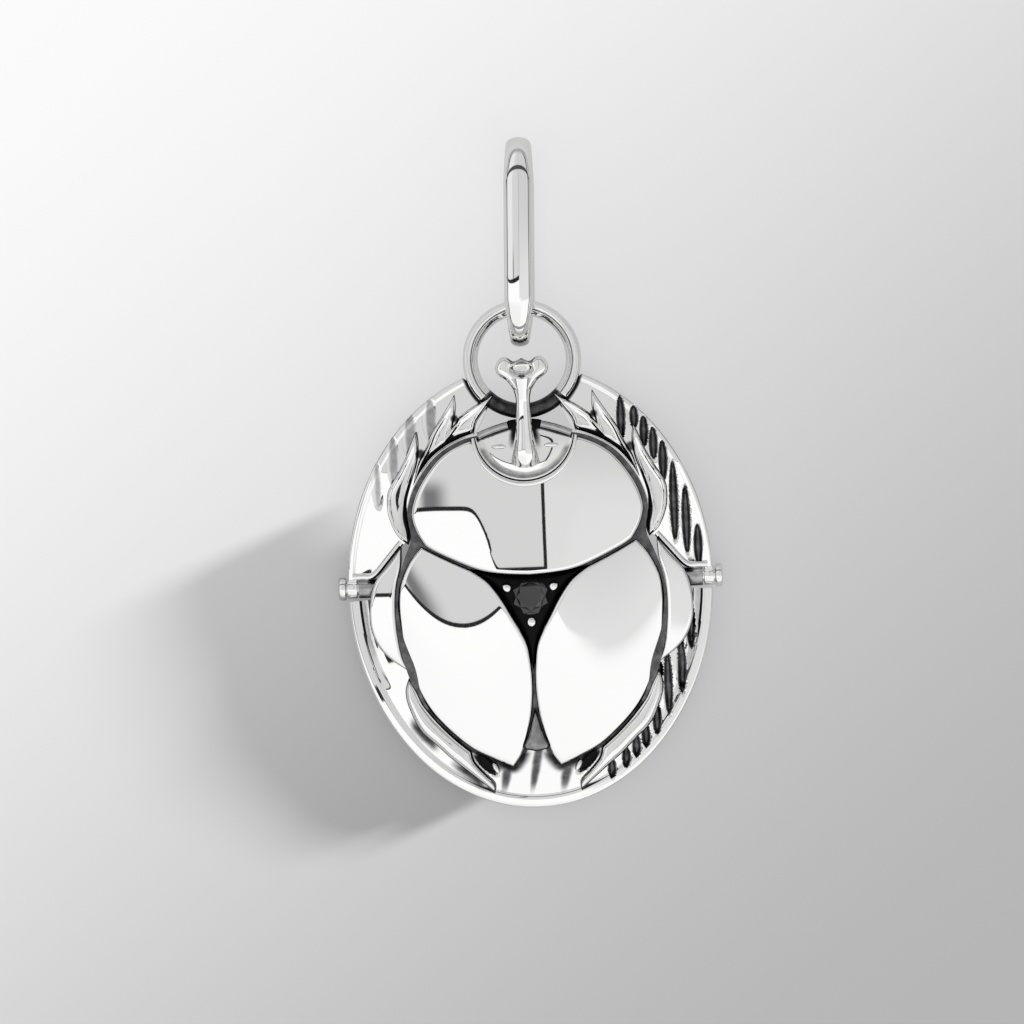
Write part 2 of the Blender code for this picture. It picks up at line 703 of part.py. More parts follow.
def hind_leg(side):
    spine = on_side(drawn((11.9, -10.2), (10.4, -13.6), (7.2, -16.7), (5.2, -18.6)), side)
    return dome("hind_leg", on_side(HIND_LEG, side), spine, PIN_HEIGHT + LEG_ROOT, LEG_EDGE, HIND_LEG_CROWN)


def make_setting():
    """The black three-cornered setting, with three bead prongs round the stone's seat."""
    spine = drawn((0.0, -1.2), (0.0, -3.0))
    plate = dome("setting", SETTING, spine, CORE_TOP - 0.5, SETTING_TOP - 0.15, SETTING_TOP, (0.9,))
    distance = STONE_RADIUS + STONE_SEAT_GAP + BEAD_TO_SEAT_GAP + BEAD_RADIUS
    places = [around(STONE_PLACE, distance, angle) for angle in (22, 158, 270)]
    return [plate, *(ball("bead", (*place, SETTING_TOP + BEAD_LIFT), (BEAD_RADIUS,) * 3) for place in places)]


def knuckle(side):
    outer = LUG_INNER - SIDE_GAP
    return on_the_axis("knuckle", side, outer - KNUCKLE_LENGTH, outer, LUG_RADIUS)


def stone_profile(grow):
    """Radius and height of the stone from its tip to its table, grown by a clearance all round."""
    radius = STONE_RADIUS + grow
    return [(STONE_TIP, STONE_GIRDLE - STONE_PAVILION - grow), (radius, STONE_GIRDLE - GIRDLE_WIDTH / 2),
            (radius, STONE_GIRDLE + GIRDLE_WIDTH / 2), (radius * TABLE_SHARE, STONE_GIRDLE + STONE_CROWN)]


def turned(name, profile, centre, sides):
    """A turned solid, flat at both ends of its profile."""
    angles = [360 * k / sides for k in range(sides)]
    rings = [[(*around(centre, radius, angle), height) for angle in angles] for radius, height in profile]
    return loft(name, rings)


def stone_seat():
    """The cutter of the stone's seat: the stone's underside with its clearance, open upwards."""
    below = stone_profile(STONE_SEAT_GAP)[:2]
    above = (STONE_RADIUS + STONE_SEAT_GAP, SHIELD_CROWN + 1)
    return turned("stone_seat", [*below, above], STONE_PLACE, STONE_SIDES)


def make_scarab():
    """One casting, built up on its core."""
    body = make_core()
    combine(body, [make_dish()], "UNION")
    combine(body, dish_grooves(1) + dish_grooves(-1) + tail_grooves(), "DIFFERENCE")
    combine(body, pair(hind_leg) + pair(middle_leg) + pair(knuckle), "UNION")
    combine(body, [make_shield()] + pair(wing) + make_setting(), "UNION")
    combine(body, [head_plate()] + pair(gable_bar) + pair(beetle_eye), "UNION")
    combine(body, [make_collar(), make_horn()], "UNION")
    combine(body, [stone_seat()] + pair(pin_hole), "DIFFERENCE")
    present("scarab", body, SILVER)


def make_stone():
    present("stone", turned("stone", stone_profile(0.0), STONE_PLACE, STONE_SIDES), BLACK_STONE)


make_yoke()
make_bail()
make_pin("pin_right", 1)
make_pin("pin_left", -1)
make_scarab()
make_stone()
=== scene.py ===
# %% [markdown]
# A silver scarab pendant
#
# This notebook dresses a finished model of a pendant. The solids of the model carry the weight, the joint
# and the collision, and they are coarse. Here every one of them is replaced by a smooth piece with the
# finish of polished silver, blackened in its recesses and darkened by painted shade in a few places, round a
# faceted black stone.
#
# The pendant lies on its back: +Y runs from the beetle's tail to the bail, +X to the right, +Z towards the
# viewer. The line through the two pins crosses the origin, a little above the floor.

# %% Load the frame
import json
import math

import bmesh
import bpy
import numpy as np
from mathutils import Matrix, Vector

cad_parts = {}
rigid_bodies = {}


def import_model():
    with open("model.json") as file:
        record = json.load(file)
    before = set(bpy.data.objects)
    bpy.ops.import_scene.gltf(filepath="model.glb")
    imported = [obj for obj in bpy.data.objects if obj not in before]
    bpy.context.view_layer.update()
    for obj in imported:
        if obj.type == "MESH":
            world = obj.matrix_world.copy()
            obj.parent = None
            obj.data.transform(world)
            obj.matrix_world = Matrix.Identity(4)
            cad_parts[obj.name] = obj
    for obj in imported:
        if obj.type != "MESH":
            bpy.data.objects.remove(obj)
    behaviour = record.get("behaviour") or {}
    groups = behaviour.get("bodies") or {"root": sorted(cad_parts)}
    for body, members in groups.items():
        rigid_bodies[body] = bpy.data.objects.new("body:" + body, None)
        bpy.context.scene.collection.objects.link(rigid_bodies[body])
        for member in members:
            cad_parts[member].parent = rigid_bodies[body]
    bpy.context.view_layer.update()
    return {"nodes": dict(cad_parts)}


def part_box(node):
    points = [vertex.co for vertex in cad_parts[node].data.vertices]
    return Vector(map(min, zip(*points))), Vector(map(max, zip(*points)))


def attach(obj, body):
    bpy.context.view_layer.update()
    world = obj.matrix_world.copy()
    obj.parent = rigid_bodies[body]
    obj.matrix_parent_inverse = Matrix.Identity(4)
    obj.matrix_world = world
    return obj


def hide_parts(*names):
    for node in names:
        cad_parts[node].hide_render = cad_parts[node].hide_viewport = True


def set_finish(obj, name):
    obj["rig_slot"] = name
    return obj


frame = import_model()
MM = 0.001
print("frame nodes:", sorted(frame["nodes"]))

# %% [markdown]
# Sizes
#
# A silversmith works to tenths of a millimetre, so the sizes are in millimetres, and MM turns them into
# the metres of the scene. What the model already fixes is read from it, so the smooth pieces stay on the
# solids.

# %% Sizes from the frame
YOKE_LOW, YOKE_HIGH = (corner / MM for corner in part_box("yoke"))
SCARAB_LOW, SCARAB_HIGH = (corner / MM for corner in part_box("scarab"))
BAIL_LOW, BAIL_HIGH = (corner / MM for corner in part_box("bail"))
PIN_LOW, PIN_HIGH = (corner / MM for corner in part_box("pin_right"))
STONE_LOW, STONE_HIGH = (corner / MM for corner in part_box("stone"))

HALF_WIDTH = YOKE_HIGH.x - 0.1
DISH_DROP = -SCARAB_LOW.y
YOKE_RISE = 20.8
PIN_HEIGHT = (PIN_LOW.z + PIN_HIGH.z) / 2
PLATE_TOP = PIN_HEIGHT + 1.1
EYE_REACH = 5.65
EYE_CENTRE = (0.0, YOKE_HIGH.y - EYE_REACH)
EYE_HEIGHT = PLATE_TOP + 0.45
LUG_RADIUS = PIN_HEIGHT - YOKE_LOW.z
CORE_TOP = PLATE_TOP + 0.7
print(f"oval {2 * HALF_WIDTH:.1f} x {DISH_DROP + YOKE_RISE:.1f} mm, eye centre {EYE_CENTRE[1]:.2f} mm up")

# %% [markdown]
# Curves
#
# The beetle is drawn with a few points a stroke. A Catmull-Rom curve passes through all of its points,
# which makes it easy to draw with: each point is a place on the metal. The strokes of one outline meet in
# corners.


# %% Curves through points
def smooth(points, pieces=6):
    """A Catmull-Rom curve through the points, without the last one."""
    padded = [points[0], *points, points[-1]]
    run = []
    for spans in zip(padded, padded[1:], padded[2:], padded[3:]):
        a, b, c, d = (np.array(point, float) for point in spans)
        for t in np.arange(pieces) / pieces:
            run.append(b + t / 2 * (c - a + t * (2 * a - 5 * b + 4 * c - d + t * (3 * (b - c) + d - a))))
    return run


def outline(*strokes):
    """A closed outline of smooth strokes, each starting where the last one ends."""
    return np.array([point for stroke in strokes for point in smooth(stroke)])


def both_sides(right_half):
    """A right half that starts and ends on the middle line, closed by its mirror image."""
    left = [(-x, y) for x, y in reversed(list(right_half)) if x > 1e-6]
    return np.array([*right_half, *left])


def evenly_spaced(points, count, closed=True):
    """As many points at an even pitch along a run of lines."""
    points = np.array(points, float)
    if closed:
        points = np.vstack([points, points[:1]])
    steps = np.hypot(*np.diff(points[:, :2], axis=0).T)
    along = np.concatenate([[0.0], np.cumsum(steps)])
    places = np.linspace(0.0, along[-1], count, endpoint=not closed)
    return np.stack([np.interp(places, along, column) for column in points.T], axis=1)


def on_side(points, side):
    points = np.array(points, float)
    points[:, 0] *= side
    return points


# %% [markdown]
# How far from the edge?
#
# Most of the pendant is pillows of metal: high in the middle and rolled down at the edge. Their height
# follows the distance to the outline. The plain distance has a crease along the middle, which polished
# silver would show at once. This one adds up the pull of the whole outline on a place, by the inverse cube
# of the distance. Near the edge it is the plain distance, and in the middle it is smooth.


# %% Smooth distance to an outline
def edge_distance(places, edge):
    """The smooth distance from each place to the closed outline."""
    places = np.asarray(places, float)[:, None, :2]
    start = np.asarray(edge, float)[None, :, :2]
    end = np.roll(start, -1, axis=1)
    along = end - start
    length = np.maximum(np.hypot(along[..., 0], along[..., 1]), 1e-9)
    along = along / length[..., None]
    offset = places - start
    first = -(offset * along).sum(-1)
    height2 = np.maximum((offset**2).sum(-1) - first**2, 1e-5)
    last = first + length
    pull = (last / np.sqrt(last**2 + height2) - first / np.sqrt(first**2 + height2)) / height2
    return np.sqrt(2.0 / np.maximum(pull.sum(-1), 1e-9))


def ease(low, high, value):
    """0 below low, 1 above high and a soft step between them."""
    t = np.clip((np.asarray(value, float) - low) / (high - low), 0.0, 1.0)
    return t * t * (3 - 2 * t)


print("edge distance at the middle of a 2 mm square:",
      edge_distance([(0, 0)], [(-1, -1), (1, -1), (1, 1), (-1, 1)]).round(2))

# %% [markdown]
# Working on a piece
#
# Each piece starts as a primitive and is shaped in edit mode, where an operator acts on what is selected.
# These helpers start a piece with nothing else selected, move its vertices all at once, and store a value
# on each vertex. That value says how black a vertex is: the oxide in its recesses, and painted shade in a
# few places. The material reads it to blacken the silver there.


# %% Helpers for one piece
def start(add, **settings):
    """Adds a primitive with nothing else selected and returns it."""
    if bpy.context.object and bpy.context.object.mode != "OBJECT":
        bpy.ops.object.mode_set(mode="OBJECT")
    bpy.ops.object.select_all(action="DESELECT")
    add(**settings)
    return bpy.context.object


def choose(piece):
    """Selects this piece alone and makes it the active one."""
    bpy.ops.object.select_all(action="DESELECT")
    piece.select_set(True)
    bpy.context.view_layer.objects.active = piece


def freeze(piece):
    """Applies the piece's place, so that its object sits at the origin."""
    choose(piece)
    bpy.ops.object.transform_apply(location=True, rotation=True, scale=True)


def get_places(piece):
    """The vertices of a piece, in millimetres."""
    places = np.empty(len(piece.data.vertices) * 3)
    piece.data.vertices.foreach_get("co", places)
    return places.reshape(-1, 3) / MM


def set_places(piece, places):
    piece.data.vertices.foreach_set("co", (np.asarray(places) * MM).ravel())
    piece.data.update()


def set_tarnish_and_shade(piece, values):
    """Stores how black each vertex is, from 0 to 1."""
    layers = piece.data.attributes
    layer = layers.get("tarnish") or layers.new("tarnish", "FLOAT", "POINT")
    values = np.clip(np.broadcast_to(values, len(layer.data)), 0, 1)
    layer.data.foreach_set("value", values.astype(np.float32))


def get_tarnish_and_shade(piece):
    values = np.empty(len(piece.data.vertices))
    piece.data.attributes["tarnish"].data.foreach_get("value", values)
    return values


def darken(piece, *masks):
    """Raises the piece's blackening, oxide and painted shade alike, to each of the masks where a mask is
    higher.
    """
    for mask in masks:
        set_tarnish_and_shade(piece, np.maximum(get_tarnish_and_shade(piece), mask))


def recalculate(piece):
    """Merges doubles and turns the faces outwards."""
    work = bmesh.new()
    work.from_mesh(piece.data)
    bmesh.ops.remove_doubles(work, verts=work.verts, dist=1e-7)
    bmesh.ops.recalc_face_normals(work, faces=work.faces)
    work.to_mesh(piece.data)
    work.free()


def shade(piece, degrees):
    """Shades smoothly, but keeps edges sharper than the angle."""
    choose(piece)
    bpy.ops.object.shade_smooth_by_angle(angle=math.radians(degrees))


def bevel_edges(piece, width, degrees=30):
    """Rounds the edges that are sharper than the angle."""
    bevel = piece.modifiers.new("bevel", "BEVEL")
    bevel.width = width * MM
    bevel.segments = 3
    bevel.limit_method = "ANGLE"
    bevel.angle_limit = math.radians(degrees)
    bpy.ops.object.modifier_apply(modifier="bevel")


def join(name, pieces):
    """Makes several pieces of one casting one object."""
    bpy.ops.object.select_all(action="DESELECT")
    for piece in pieces:
        piece.select_set(True)
    bpy.context.view_layer.objects.active = pieces[0]
    if len(pieces) > 1:
        bpy.ops.object.join()
    pieces[0].name = name
    pieces[0].data.name = name
    return pieces[0]


def drop(radii, place, tarnish=0.0, turn=0.0, segments=32, rings=20):
    """A bead of metal: a sphere with three radii of its own, turned about the upright axis."""
    piece = start(bpy.ops.mesh.primitive_uv_sphere_add, segments=segments, ring_count=rings, radius=1.0)
    cos, sin = math.cos(turn), math.sin(turn)
    turned = get_places(piece) * MM * radii @ [[cos, sin, 0], [-sin, cos, 0], [0, 0, 1]]
    set_places(piece, turned + place)
    set_tarnish_and_shade(piece, tarnish)
    return piece


print("helpers ready, sizes in units of", MM, "m")

# %% [markdown]
# Pillows of metal
#
# A wing case, the shield and a leg are all a plate with an outline of its own and a rounded top. A drum is
# a good start: its top is inset again and again, which gives rings of faces, and poked at its centre. Then
# the drum is squeezed into the outline. The angle of a vertex picks its place along the outline and its
# distance from the centre says how far in it lies, on the way to a given spine. The edge distance
# gives the height.


# %% Drum to pillow
def drum_in_edit_mode(name, around):
    """A drum of radius 1 m in edit mode, with its top face selected."""
    drum = start(bpy.ops.mesh.primitive_cylinder_add, vertices=around, radius=1.0, depth=1.0)
    drum.name = name
    bpy.ops.object.mode_set(mode="EDIT")
    bpy.ops.mesh.select_all(action="DESELECT")
    bpy.ops.object.mode_set(mode="OBJECT")
    for face in drum.data.polygons:
        face.select = face.normal.z > 0.9
    bpy.ops.object.mode_set(mode="EDIT")
    return drum


def ring_drum(name, around, rings):
    """A drum of radius 1 m, its top divided into rings."""
    drum = drum_in_edit_mode(name, around)
    for _ in range(rings - 1):
        bpy.ops.mesh.inset(thickness=math.cos(math.pi / around) / rings)
    bpy.ops.mesh.poke()
    bpy.ops.object.mode_set(mode="OBJECT")
    return drum


def outline_points(flat, edge, around):
    """The point of the outline that each vertex of a drum or sphere belongs to, by its angle."""
    column = np.round((np.arctan2(flat[:, 1], flat[:, 0]) % (2 * math.pi)) / (2 * math.pi) * around)
    return evenly_spaced(edge, around)[column.astype(int) % around]


def feet_on(spine, points):
    """The nearest place of an open run of lines to each point."""
    spine = np.array(spine, float)
    best = np.full(len(points), 1e9)
    feet = np.zeros((len(points), 2))
    for a, b in zip(spine, spine[1:]):
        line = b - a
        share = np.clip(((points - a) @ line) / (line @ line), 0, 1)
        foot = a + share[:, None] * line
        gap = np.hypot(*(points - foot).T)
        feet[gap < best] = foot[gap < best]
        best = np.minimum(best, gap)
    return feet


def pillow(name, edge, spine, floor, rim, crown, roll=1.0, bulge=0.5, around=176, rings=16,
           blacken=0.16, profile=None):
    """A plate with the given outline whose top rises from rim to crown.

    roll is how wide its edge rolls down and bulge how much of its height lies in the middle.
    """
    piece = ring_drum(name, around, rings)
    flat = get_places(piece) * MM
    top = flat[:, 2] > 0
    radius = np.hypot(flat[:, 0], flat[:, 1])
    points = outline_points(flat, edge, around)
    depth = 1 - np.clip(radius, 0, 1)
    share = (1 - depth**1.35 * 0.999)[:, None]
    feet = feet_on(spine, points)
    centre = np.mean(np.array(spine, float), axis=0)
    feet = centre + (feet - centre) * np.clip(share * 1.6, 0, 1) ** 0.7
    spot = feet + (points - feet) * share
    away = edge_distance(spot, edge)
    away[radius > 0.999] = 0.0
    deepest = away.max()
    if profile is None:
        rolled = (1 - np.exp(-1.6 * away / roll)) ** 0.6
        rise = (1 - bulge) * rolled + bulge * (1 - (1 - away / deepest) ** 2)
    else:
        rise = profile(spot, away)
    height = np.where(top, rim + (crown - rim) * rise, floor)
    set_places(piece, np.column_stack([spot, height]))
    set_tarnish_and_shade(piece, np.where(top, ease(blacken, blacken * 0.4, away), 1.0))
    recalculate(piece)
    return piece


EDGE_ROLL, EDGE_DROP = 0.36, 0.3


def quarter_round(away, radius):
    """1 at an edge and 0 further in than the radius, along a quarter of a circle."""
    return 1 - np.sqrt(1 - (1 - np.clip(away / radius, 0, 1)) ** 2)


def mirror_plate(name, edge, centre, floor, surface, around=384, rings=32):
    """A large polished plate. surface gives the height of its top, and its edge rolls down."""
    piece = ring_drum(name, around, rings)
    flat = get_places(piece) * MM
    top = flat[:, 2] > 0
    radius = np.hypot(flat[:, 0], flat[:, 1])
    points = outline_points(flat, edge, around)
    share = 1 - (1 - np.clip(radius, 0, 1)) ** 1.7
    spot = centre + (points - centre) * share[:, None]
    away = edge_distance(spot, edge)
    away[radius > 0.999] = 0.0
    height = surface(np.abs(spot[:, 0]), spot[:, 1]) - EDGE_DROP * quarter_round(away, EDGE_ROLL)
    set_places(piece, np.column_stack([spot, np.where(top, height, floor)]))
    set_tarnish_and_shade(piece, np.where(top, 0.9 * ease(0.1, 0.03, away), 1.0))
    recalculate(piece)
    return piece


def soft_positive(value, softness=0.6):
    """value where it is above 0 and nearly nothing below, with a smooth turn."""
    return (value + np.sqrt(value**2 + softness**2)) / 2


def wire(name, path, radius, shares=None, sides=16, closed=False, squeeze=None):
    """A round wire along a path in millimetres, made by a bevelled curve and turned into a mesh."""
    shares = shares or [1.0] * len(path)
    curve = bpy.data.curves.new(name, "CURVE")
    curve.dimensions = "3D"
    curve.bevel_depth = radius * MM
    curve.bevel_resolution = sides // 4
    curve.use_fill_caps = not closed
    spline = curve.splines.new("POLY")
    spline.points.add(len(path) - 1)
    spline.use_cyclic_u = closed
    for place, (x, y, z), share in zip(spline.points, path, shares):
        place.co = (x * MM, y * MM, z * MM, 1.0)
        place.radius = share
    guide = bpy.data.objects.new(name, curve)
    bpy.context.scene.collection.objects.link(guide)
    choose(guide)
    bpy.ops.object.convert(target="MESH")
    piece = bpy.context.object
    if squeeze:
        piece.data.transform(Matrix.Diagonal((*squeeze, 1.0)))
    recalculate(piece)
    set_tarnish_and_shade(piece, 0.0)
    return piece


print("a plate's edge rolls down", EDGE_DROP, "mm within", EDGE_ROLL, "mm")


# %% [markdown]
# The oval
#
# The dish makes the lower half of the oval and the yoke the upper half. Both are a plate with grooves,
# which are spindles: widest in the middle and pointed at both ends, all parallel to the pendant's length.
# They are sunk into the plate's height, and what is sunk is blackened. On the left of the yoke they are
# shallow, and their black is painted pale: painted light, where the light from the left washes them out.
# The dish has none on the left.

# %% The grooves
GROOVE_WIDTH = 0.86
GROOVE_DEPTH = 0.55
LIGHT_WASHED_DEPTH = 0.1


def groove_depth(places, grooves):
    """How deep each place is cut, 0 to 1, by grooves given as (x, low y, high y, depth, width)."""
    x, y = places[:, 0], places[:, 1]
    depth = np.zeros(len(x))
    for centre, low, high, deep, width in grooves:
        along = np.clip(1 - ((y - (low + high) / 2) / ((high - low) / 2)) ** 2, 0, 1)
        half = width / 2 * along**0.6 + 1e-6
        across = np.clip(1 - ((x - centre) / half) ** 2, 0, 1)
        shape = 0.7 if width < 1 else 1.6
        depth = np.maximum(depth, deep * across**shape * np.minimum(1.0, along * 3))
    return depth


YOKE_GROOVES = [(9.2, 13.2, 17.5), (10.45, 14.3, 16.5), (11.35, 12.5, 15.5), (12.2, 11.2, 14.4),
                (13.06, 9.3, 13.1), (13.95, 3.2, 11.3), (15.05, 2.0, 8.9), (16.1, 0.9, 5.0)]
DISH_GROOVES = [(11.95, -9.6, -8.0), (12.75, -13.3, -6.9), (14.1, -11.4, -5.6), (15.1, -7.0, -2.0),
                (11.55, -15.0, -11.9), (10.45, -16.2, -13.9), (9.5, -17.1, -14.9), (8.5, -18.0, -16.0),
                (7.1, -19.0, -17.1)]
# Grooves on the left of the yoke: shallow, and only painted pale grey, as painted light from the left.
LIGHT_WASHED_GROOVES = [(-8.9, 13.6, 18.0, 1.0, 1.6), (-10.9, 12.0, 16.9, 1.0, 1.7), (-12.6, 9.6, 14.6, 0.9, 1.5),
                (-14.2, 7.4, 12.2, 0.7, 1.3)]


def sharp(grooves):
    return [(x, low, high, 1.0, GROOVE_WIDTH) for x, low, high in grooves]


print("grooves:", len(YOKE_GROOVES), "on the yoke,", len(DISH_GROOVES), "on the dish")


# %% [markdown]
# Two rails
#
# A ribbed arm runs between two curves: the beetle's side and the oval's rim. A grid is the best start for
# such a strip, because each of its rows can be laid from one rail to the other. Its rim is then pulled
# down to make the outer wall, and the inner edge as well.


# %% A strip between two rails
def strip(name, inner, outer, height, across=48, floor=PIN_HEIGHT):
    """A closed plate between two rails of as many points each. height gives z from places and shares."""
    inner, outer = np.array(inner, float), np.array(outer, float)
    rows = len(inner)
    piece = start(bpy.ops.mesh.primitive_grid_add, x_subdivisions=across, y_subdivisions=rows - 1, size=2.0)
    piece.name = name
    flat = get_places(piece) * MM
    share = (flat[:, 0] + 1) / 2
    row = np.round((flat[:, 1] + 1) / 2 * (rows - 1)).astype(int)
    spot = inner[row] + (outer[row] - inner[row]) * share[:, None]
    width = np.hypot(*(outer[row] - inner[row]).T)
    z, dark = height(spot, share, width)
    set_places(piece, np.column_stack([spot, z]))
    set_tarnish_and_shade(piece, dark)
    bpy.ops.object.mode_set(mode="EDIT")
    bpy.ops.mesh.select_all(action="SELECT")
    bpy.ops.mesh.extrude_region_move()
    bpy.ops.object.mode_set(mode="OBJECT")
    places = get_places(piece)
    chosen = np.array([vertex.select for vertex in piece.data.vertices])
    places[chosen, 2] = floor
    set_places(piece, places)
    recalculate(piece)
    return piece


def oval_point(angle, rise):
    return np.stack([HALF_WIDTH * np.cos(angle), rise * np.sin(angle)], axis=-1)


RIM_BAND = 0.55
YOKE_INNER = [(16.45, 0.85), (15.05, 1.0), (13.4, 2.6), (12.05, 4.0), (11.5, 4.35), (11.35, 5.1),
              (11.52, 6.2), (11.58, 7.2), (10.98, 9.1), (10.0, 10.9), (8.8, 12.3), (7.45, 13.3),
              (5.9, 14.0), (4.7, 14.5), (3.7, 16.3), (3.0, 17.8)]


def valleys(spot):
    """The blackened corners between two teeth of a front leg."""
    dark = np.zeros(len(spot))
    for x, y, reach in ((10.0, 12.6, 0.75), (6.65, 15.85, 0.6), (11.3, 3.9, 0.5)):
        gap = np.hypot(np.abs(spot[:, 0]) - x, spot[:, 1] - y)
        dark = np.maximum(dark, 0.85 * ease(reach, reach * 0.35, gap))
    return dark


def yoke_height(spot, share, width):
    """A shallow slope from the beetle's side down to a thin polished rim, with the grooves in it."""
    from_rim = (1 - share) * width
    slope = PLATE_TOP - 0.12 + 0.075 * np.clip(spot[:, 1], 0, 11) + 0.04 * ease(0.55, 0.0, share)
    rim = ease(RIM_BAND + 0.18, RIM_BAND - 0.05, from_rim)
    softened = 0.12 * np.clip(1 - from_rim / 0.2, 0, 1) ** 2
    cut = groove_depth(spot, sharp(YOKE_GROOVES))
    light_washed = groove_depth(spot, LIGHT_WASHED_GROOVES)
    z = slope + 0.1 * rim - softened - GROOVE_DEPTH * cut - LIGHT_WASHED_DEPTH * light_washed
    by_the_eye = ease(0.55, 0.1, np.hypot(spot[:, 0], spot[:, 1] - EYE_CENTRE[1]) - EYE_REACH)
    # The left grooves are blackened less: painted light from the left.
    dark = np.maximum(0.8 * ease(0.12, 0.6, cut), 0.6 * ease(0.0, 0.8, light_washed))
    return z, np.maximum(np.maximum(dark, by_the_eye), valleys(spot))


def make_yoke_arm(side):
    rows = 220
    inner = evenly_spaced([*smooth(YOKE_INNER, 12), YOKE_INNER[-1]], rows, closed=False)
    outer = oval_point(np.radians(np.linspace(2.3, 71, rows)), YOKE_RISE)
    return strip("yoke_arm", on_side(inner, side), on_side(outer, side), yoke_height)


arms = [make_yoke_arm(side) for side in (1, -1)]
print("yoke arms:", [len(arm.data.polygons) for arm in arms], "faces")


# %% [markdown]
# Front legs
#
# Each front leg lies along the shield as a band with three teeth, like a flame. The teeth overlap, and a
# bright ridge runs along the outer edge of each. Behind it the metal slopes down to the shield. So a tooth
# is a pillow with a profile of its own.

# %% Front legs
SHIELD_EDGE = outline([(0.0, 0.72), (2.1, 0.85), (4.3, 1.2), (6.28, 1.95), (8.75, 3.15), (9.88, 3.85)],
                      [(9.88, 3.85), (10.5, 4.9), (10.94, 6.16), (10.98, 7.3), (10.43, 8.95), (9.5, 10.5),
                       (8.35, 11.9), (7.15, 12.8), (5.75, 13.45), (5.05, 13.65)])
FRAME = np.array([*SHIELD_EDGE, (5.05, 13.65), (0.0, 14.0), (-5.05, 13.65), *on_side(SHIELD_EDGE[::-1], -1)])
FRONT_LEG_TEETH = [(outline([(11.5, 4.0), (12.5, 4.9), (13.2, 6.5), (13.37, 7.9), (13.2, 9.2),
                             (12.2, 10.9), (11.37, 12.45), (10.79, 13.9), (10.35, 14.8)],
                            [(10.35, 14.8), (10.15, 13.6), (10.2, 12.4), (10.5, 11.2), (11.05, 9.6),
                             (11.45, 8.2), (11.5, 7.0), (11.38, 6.0), (11.2, 4.9), (11.5, 4.0)]),
                    [(11.9, 5.6), (12.4, 7.6), (11.9, 9.6), (11.1, 11.4), (10.5, 13.4)]),
                   (outline([(10.9, 9.4), (10.3, 11.6), (9.86, 12.5), (9.36, 13.4), (8.78, 14.71),
                             (7.81, 16.15), (6.97, 17.46), (6.55, 18.2)],
                            [(6.55, 18.2), (6.45, 17.0), (6.6, 15.9), (6.9, 14.9), (7.4, 13.3)],
                            [(7.4, 13.3), (8.8, 12.3), (10.0, 10.9), (10.9, 9.4)]),
                    [(10.0, 11.2), (9.0, 12.9), (8.0, 14.5), (7.1, 16.2)]),
                   (outline([(8.6, 12.6), (7.6, 14.2), (6.57, 15.44), (6.27, 15.9), (5.28, 16.64),
                             (4.4, 17.18), (3.5, 17.65), (2.75, 18.1)],
                            [(2.75, 18.1), (3.5, 16.83), (4.47, 15.52), (4.8, 14.35)],
                            [(4.8, 14.35), (5.9, 13.98), (7.4, 13.3), (8.6, 12.6)]),
                    [(7.6, 13.4), (6.2, 14.8), (4.9, 16.0), (3.9, 17.0)])]
LEG_RIM = PLATE_TOP + 0.55
LEG_CROWN = PLATE_TOP + 1.55


def ridged(spot, away):
    """A ridge along the outer edge, and a smooth slope from it down to the channel beside the shield."""
    from_shield = edge_distance(spot, FRAME)
    slope = 0.6 + 0.12 * np.clip((from_shield - 0.35) / 2.6, 0, 1) - 0.3 * ease(1.3, 0.4, from_shield)
    ridge = 0.17 * np.exp(-(((away - 0.25) / 0.14) ** 2)) * ease(0.7, 1.3, from_shield)
    return slope + ridge - 0.45 * quarter_round(away, 0.3)


def make_front_leg(side):
    teeth = []
    for edge, spine in FRONT_LEG_TEETH:
        tooth = pillow("front_leg_tooth", on_side(edge, side), on_side(spine, side), PIN_HEIGHT + 0.3,
                       LEG_RIM, LEG_CROWN, around=160, rings=16, blacken=0.1, profile=ridged)
        places = get_places(tooth)
        near_shield = edge_distance(places, FRAME)
        # Blackened in the channel beside the shield, with a wider grey gradient of painted shade running up
        # the tooth from it.
        darken(tooth, 0.72 * ease(1.1, 0.45, near_shield), 0.5 * ease(2.6, 0.6, near_shield), valleys(places))
        teeth.append(tooth)
    return teeth


front_legs = make_front_leg(1) + make_front_leg(-1)
print("front leg teeth:", len(front_legs))


# %% [markdown]
# The eye
#
# The bail hangs in a round ring of wire. Its upper part carries a broad polished collar, flat on top with
# a bevel towards the hole. The collar ends in two clean cuts, and below them only the blackened wire goes
# on.


# %% The eye and its collar
EYE_INNER, EYE_WIRE = 4.2, 1.45
GROOVE_AT = 4.83


def make_eye():
    """A ring of wire, blackened and a little lower where the collar leaves it bare."""
    ring = start(bpy.ops.mesh.primitive_torus_add, major_segments=144, minor_segments=28,
                 major_radius=(EYE_INNER + EYE_WIRE / 2) * MM, minor_radius=EYE_WIRE / 2 * MM,
                 location=(0, EYE_CENTRE[1] * MM, EYE_HEIGHT * MM))
    freeze(ring)
    places = get_places(ring)
    up = places[:, 1] - EYE_CENTRE[1]
    below = ease(-0.58, -0.72, up / np.hypot(places[:, 0], up))
    places[:, 2] -= 0.35 * below * (places[:, 2] > EYE_HEIGHT)
    set_places(ring, places)
    set_tarnish_and_shade(ring, 0.85 * below)
    return ring


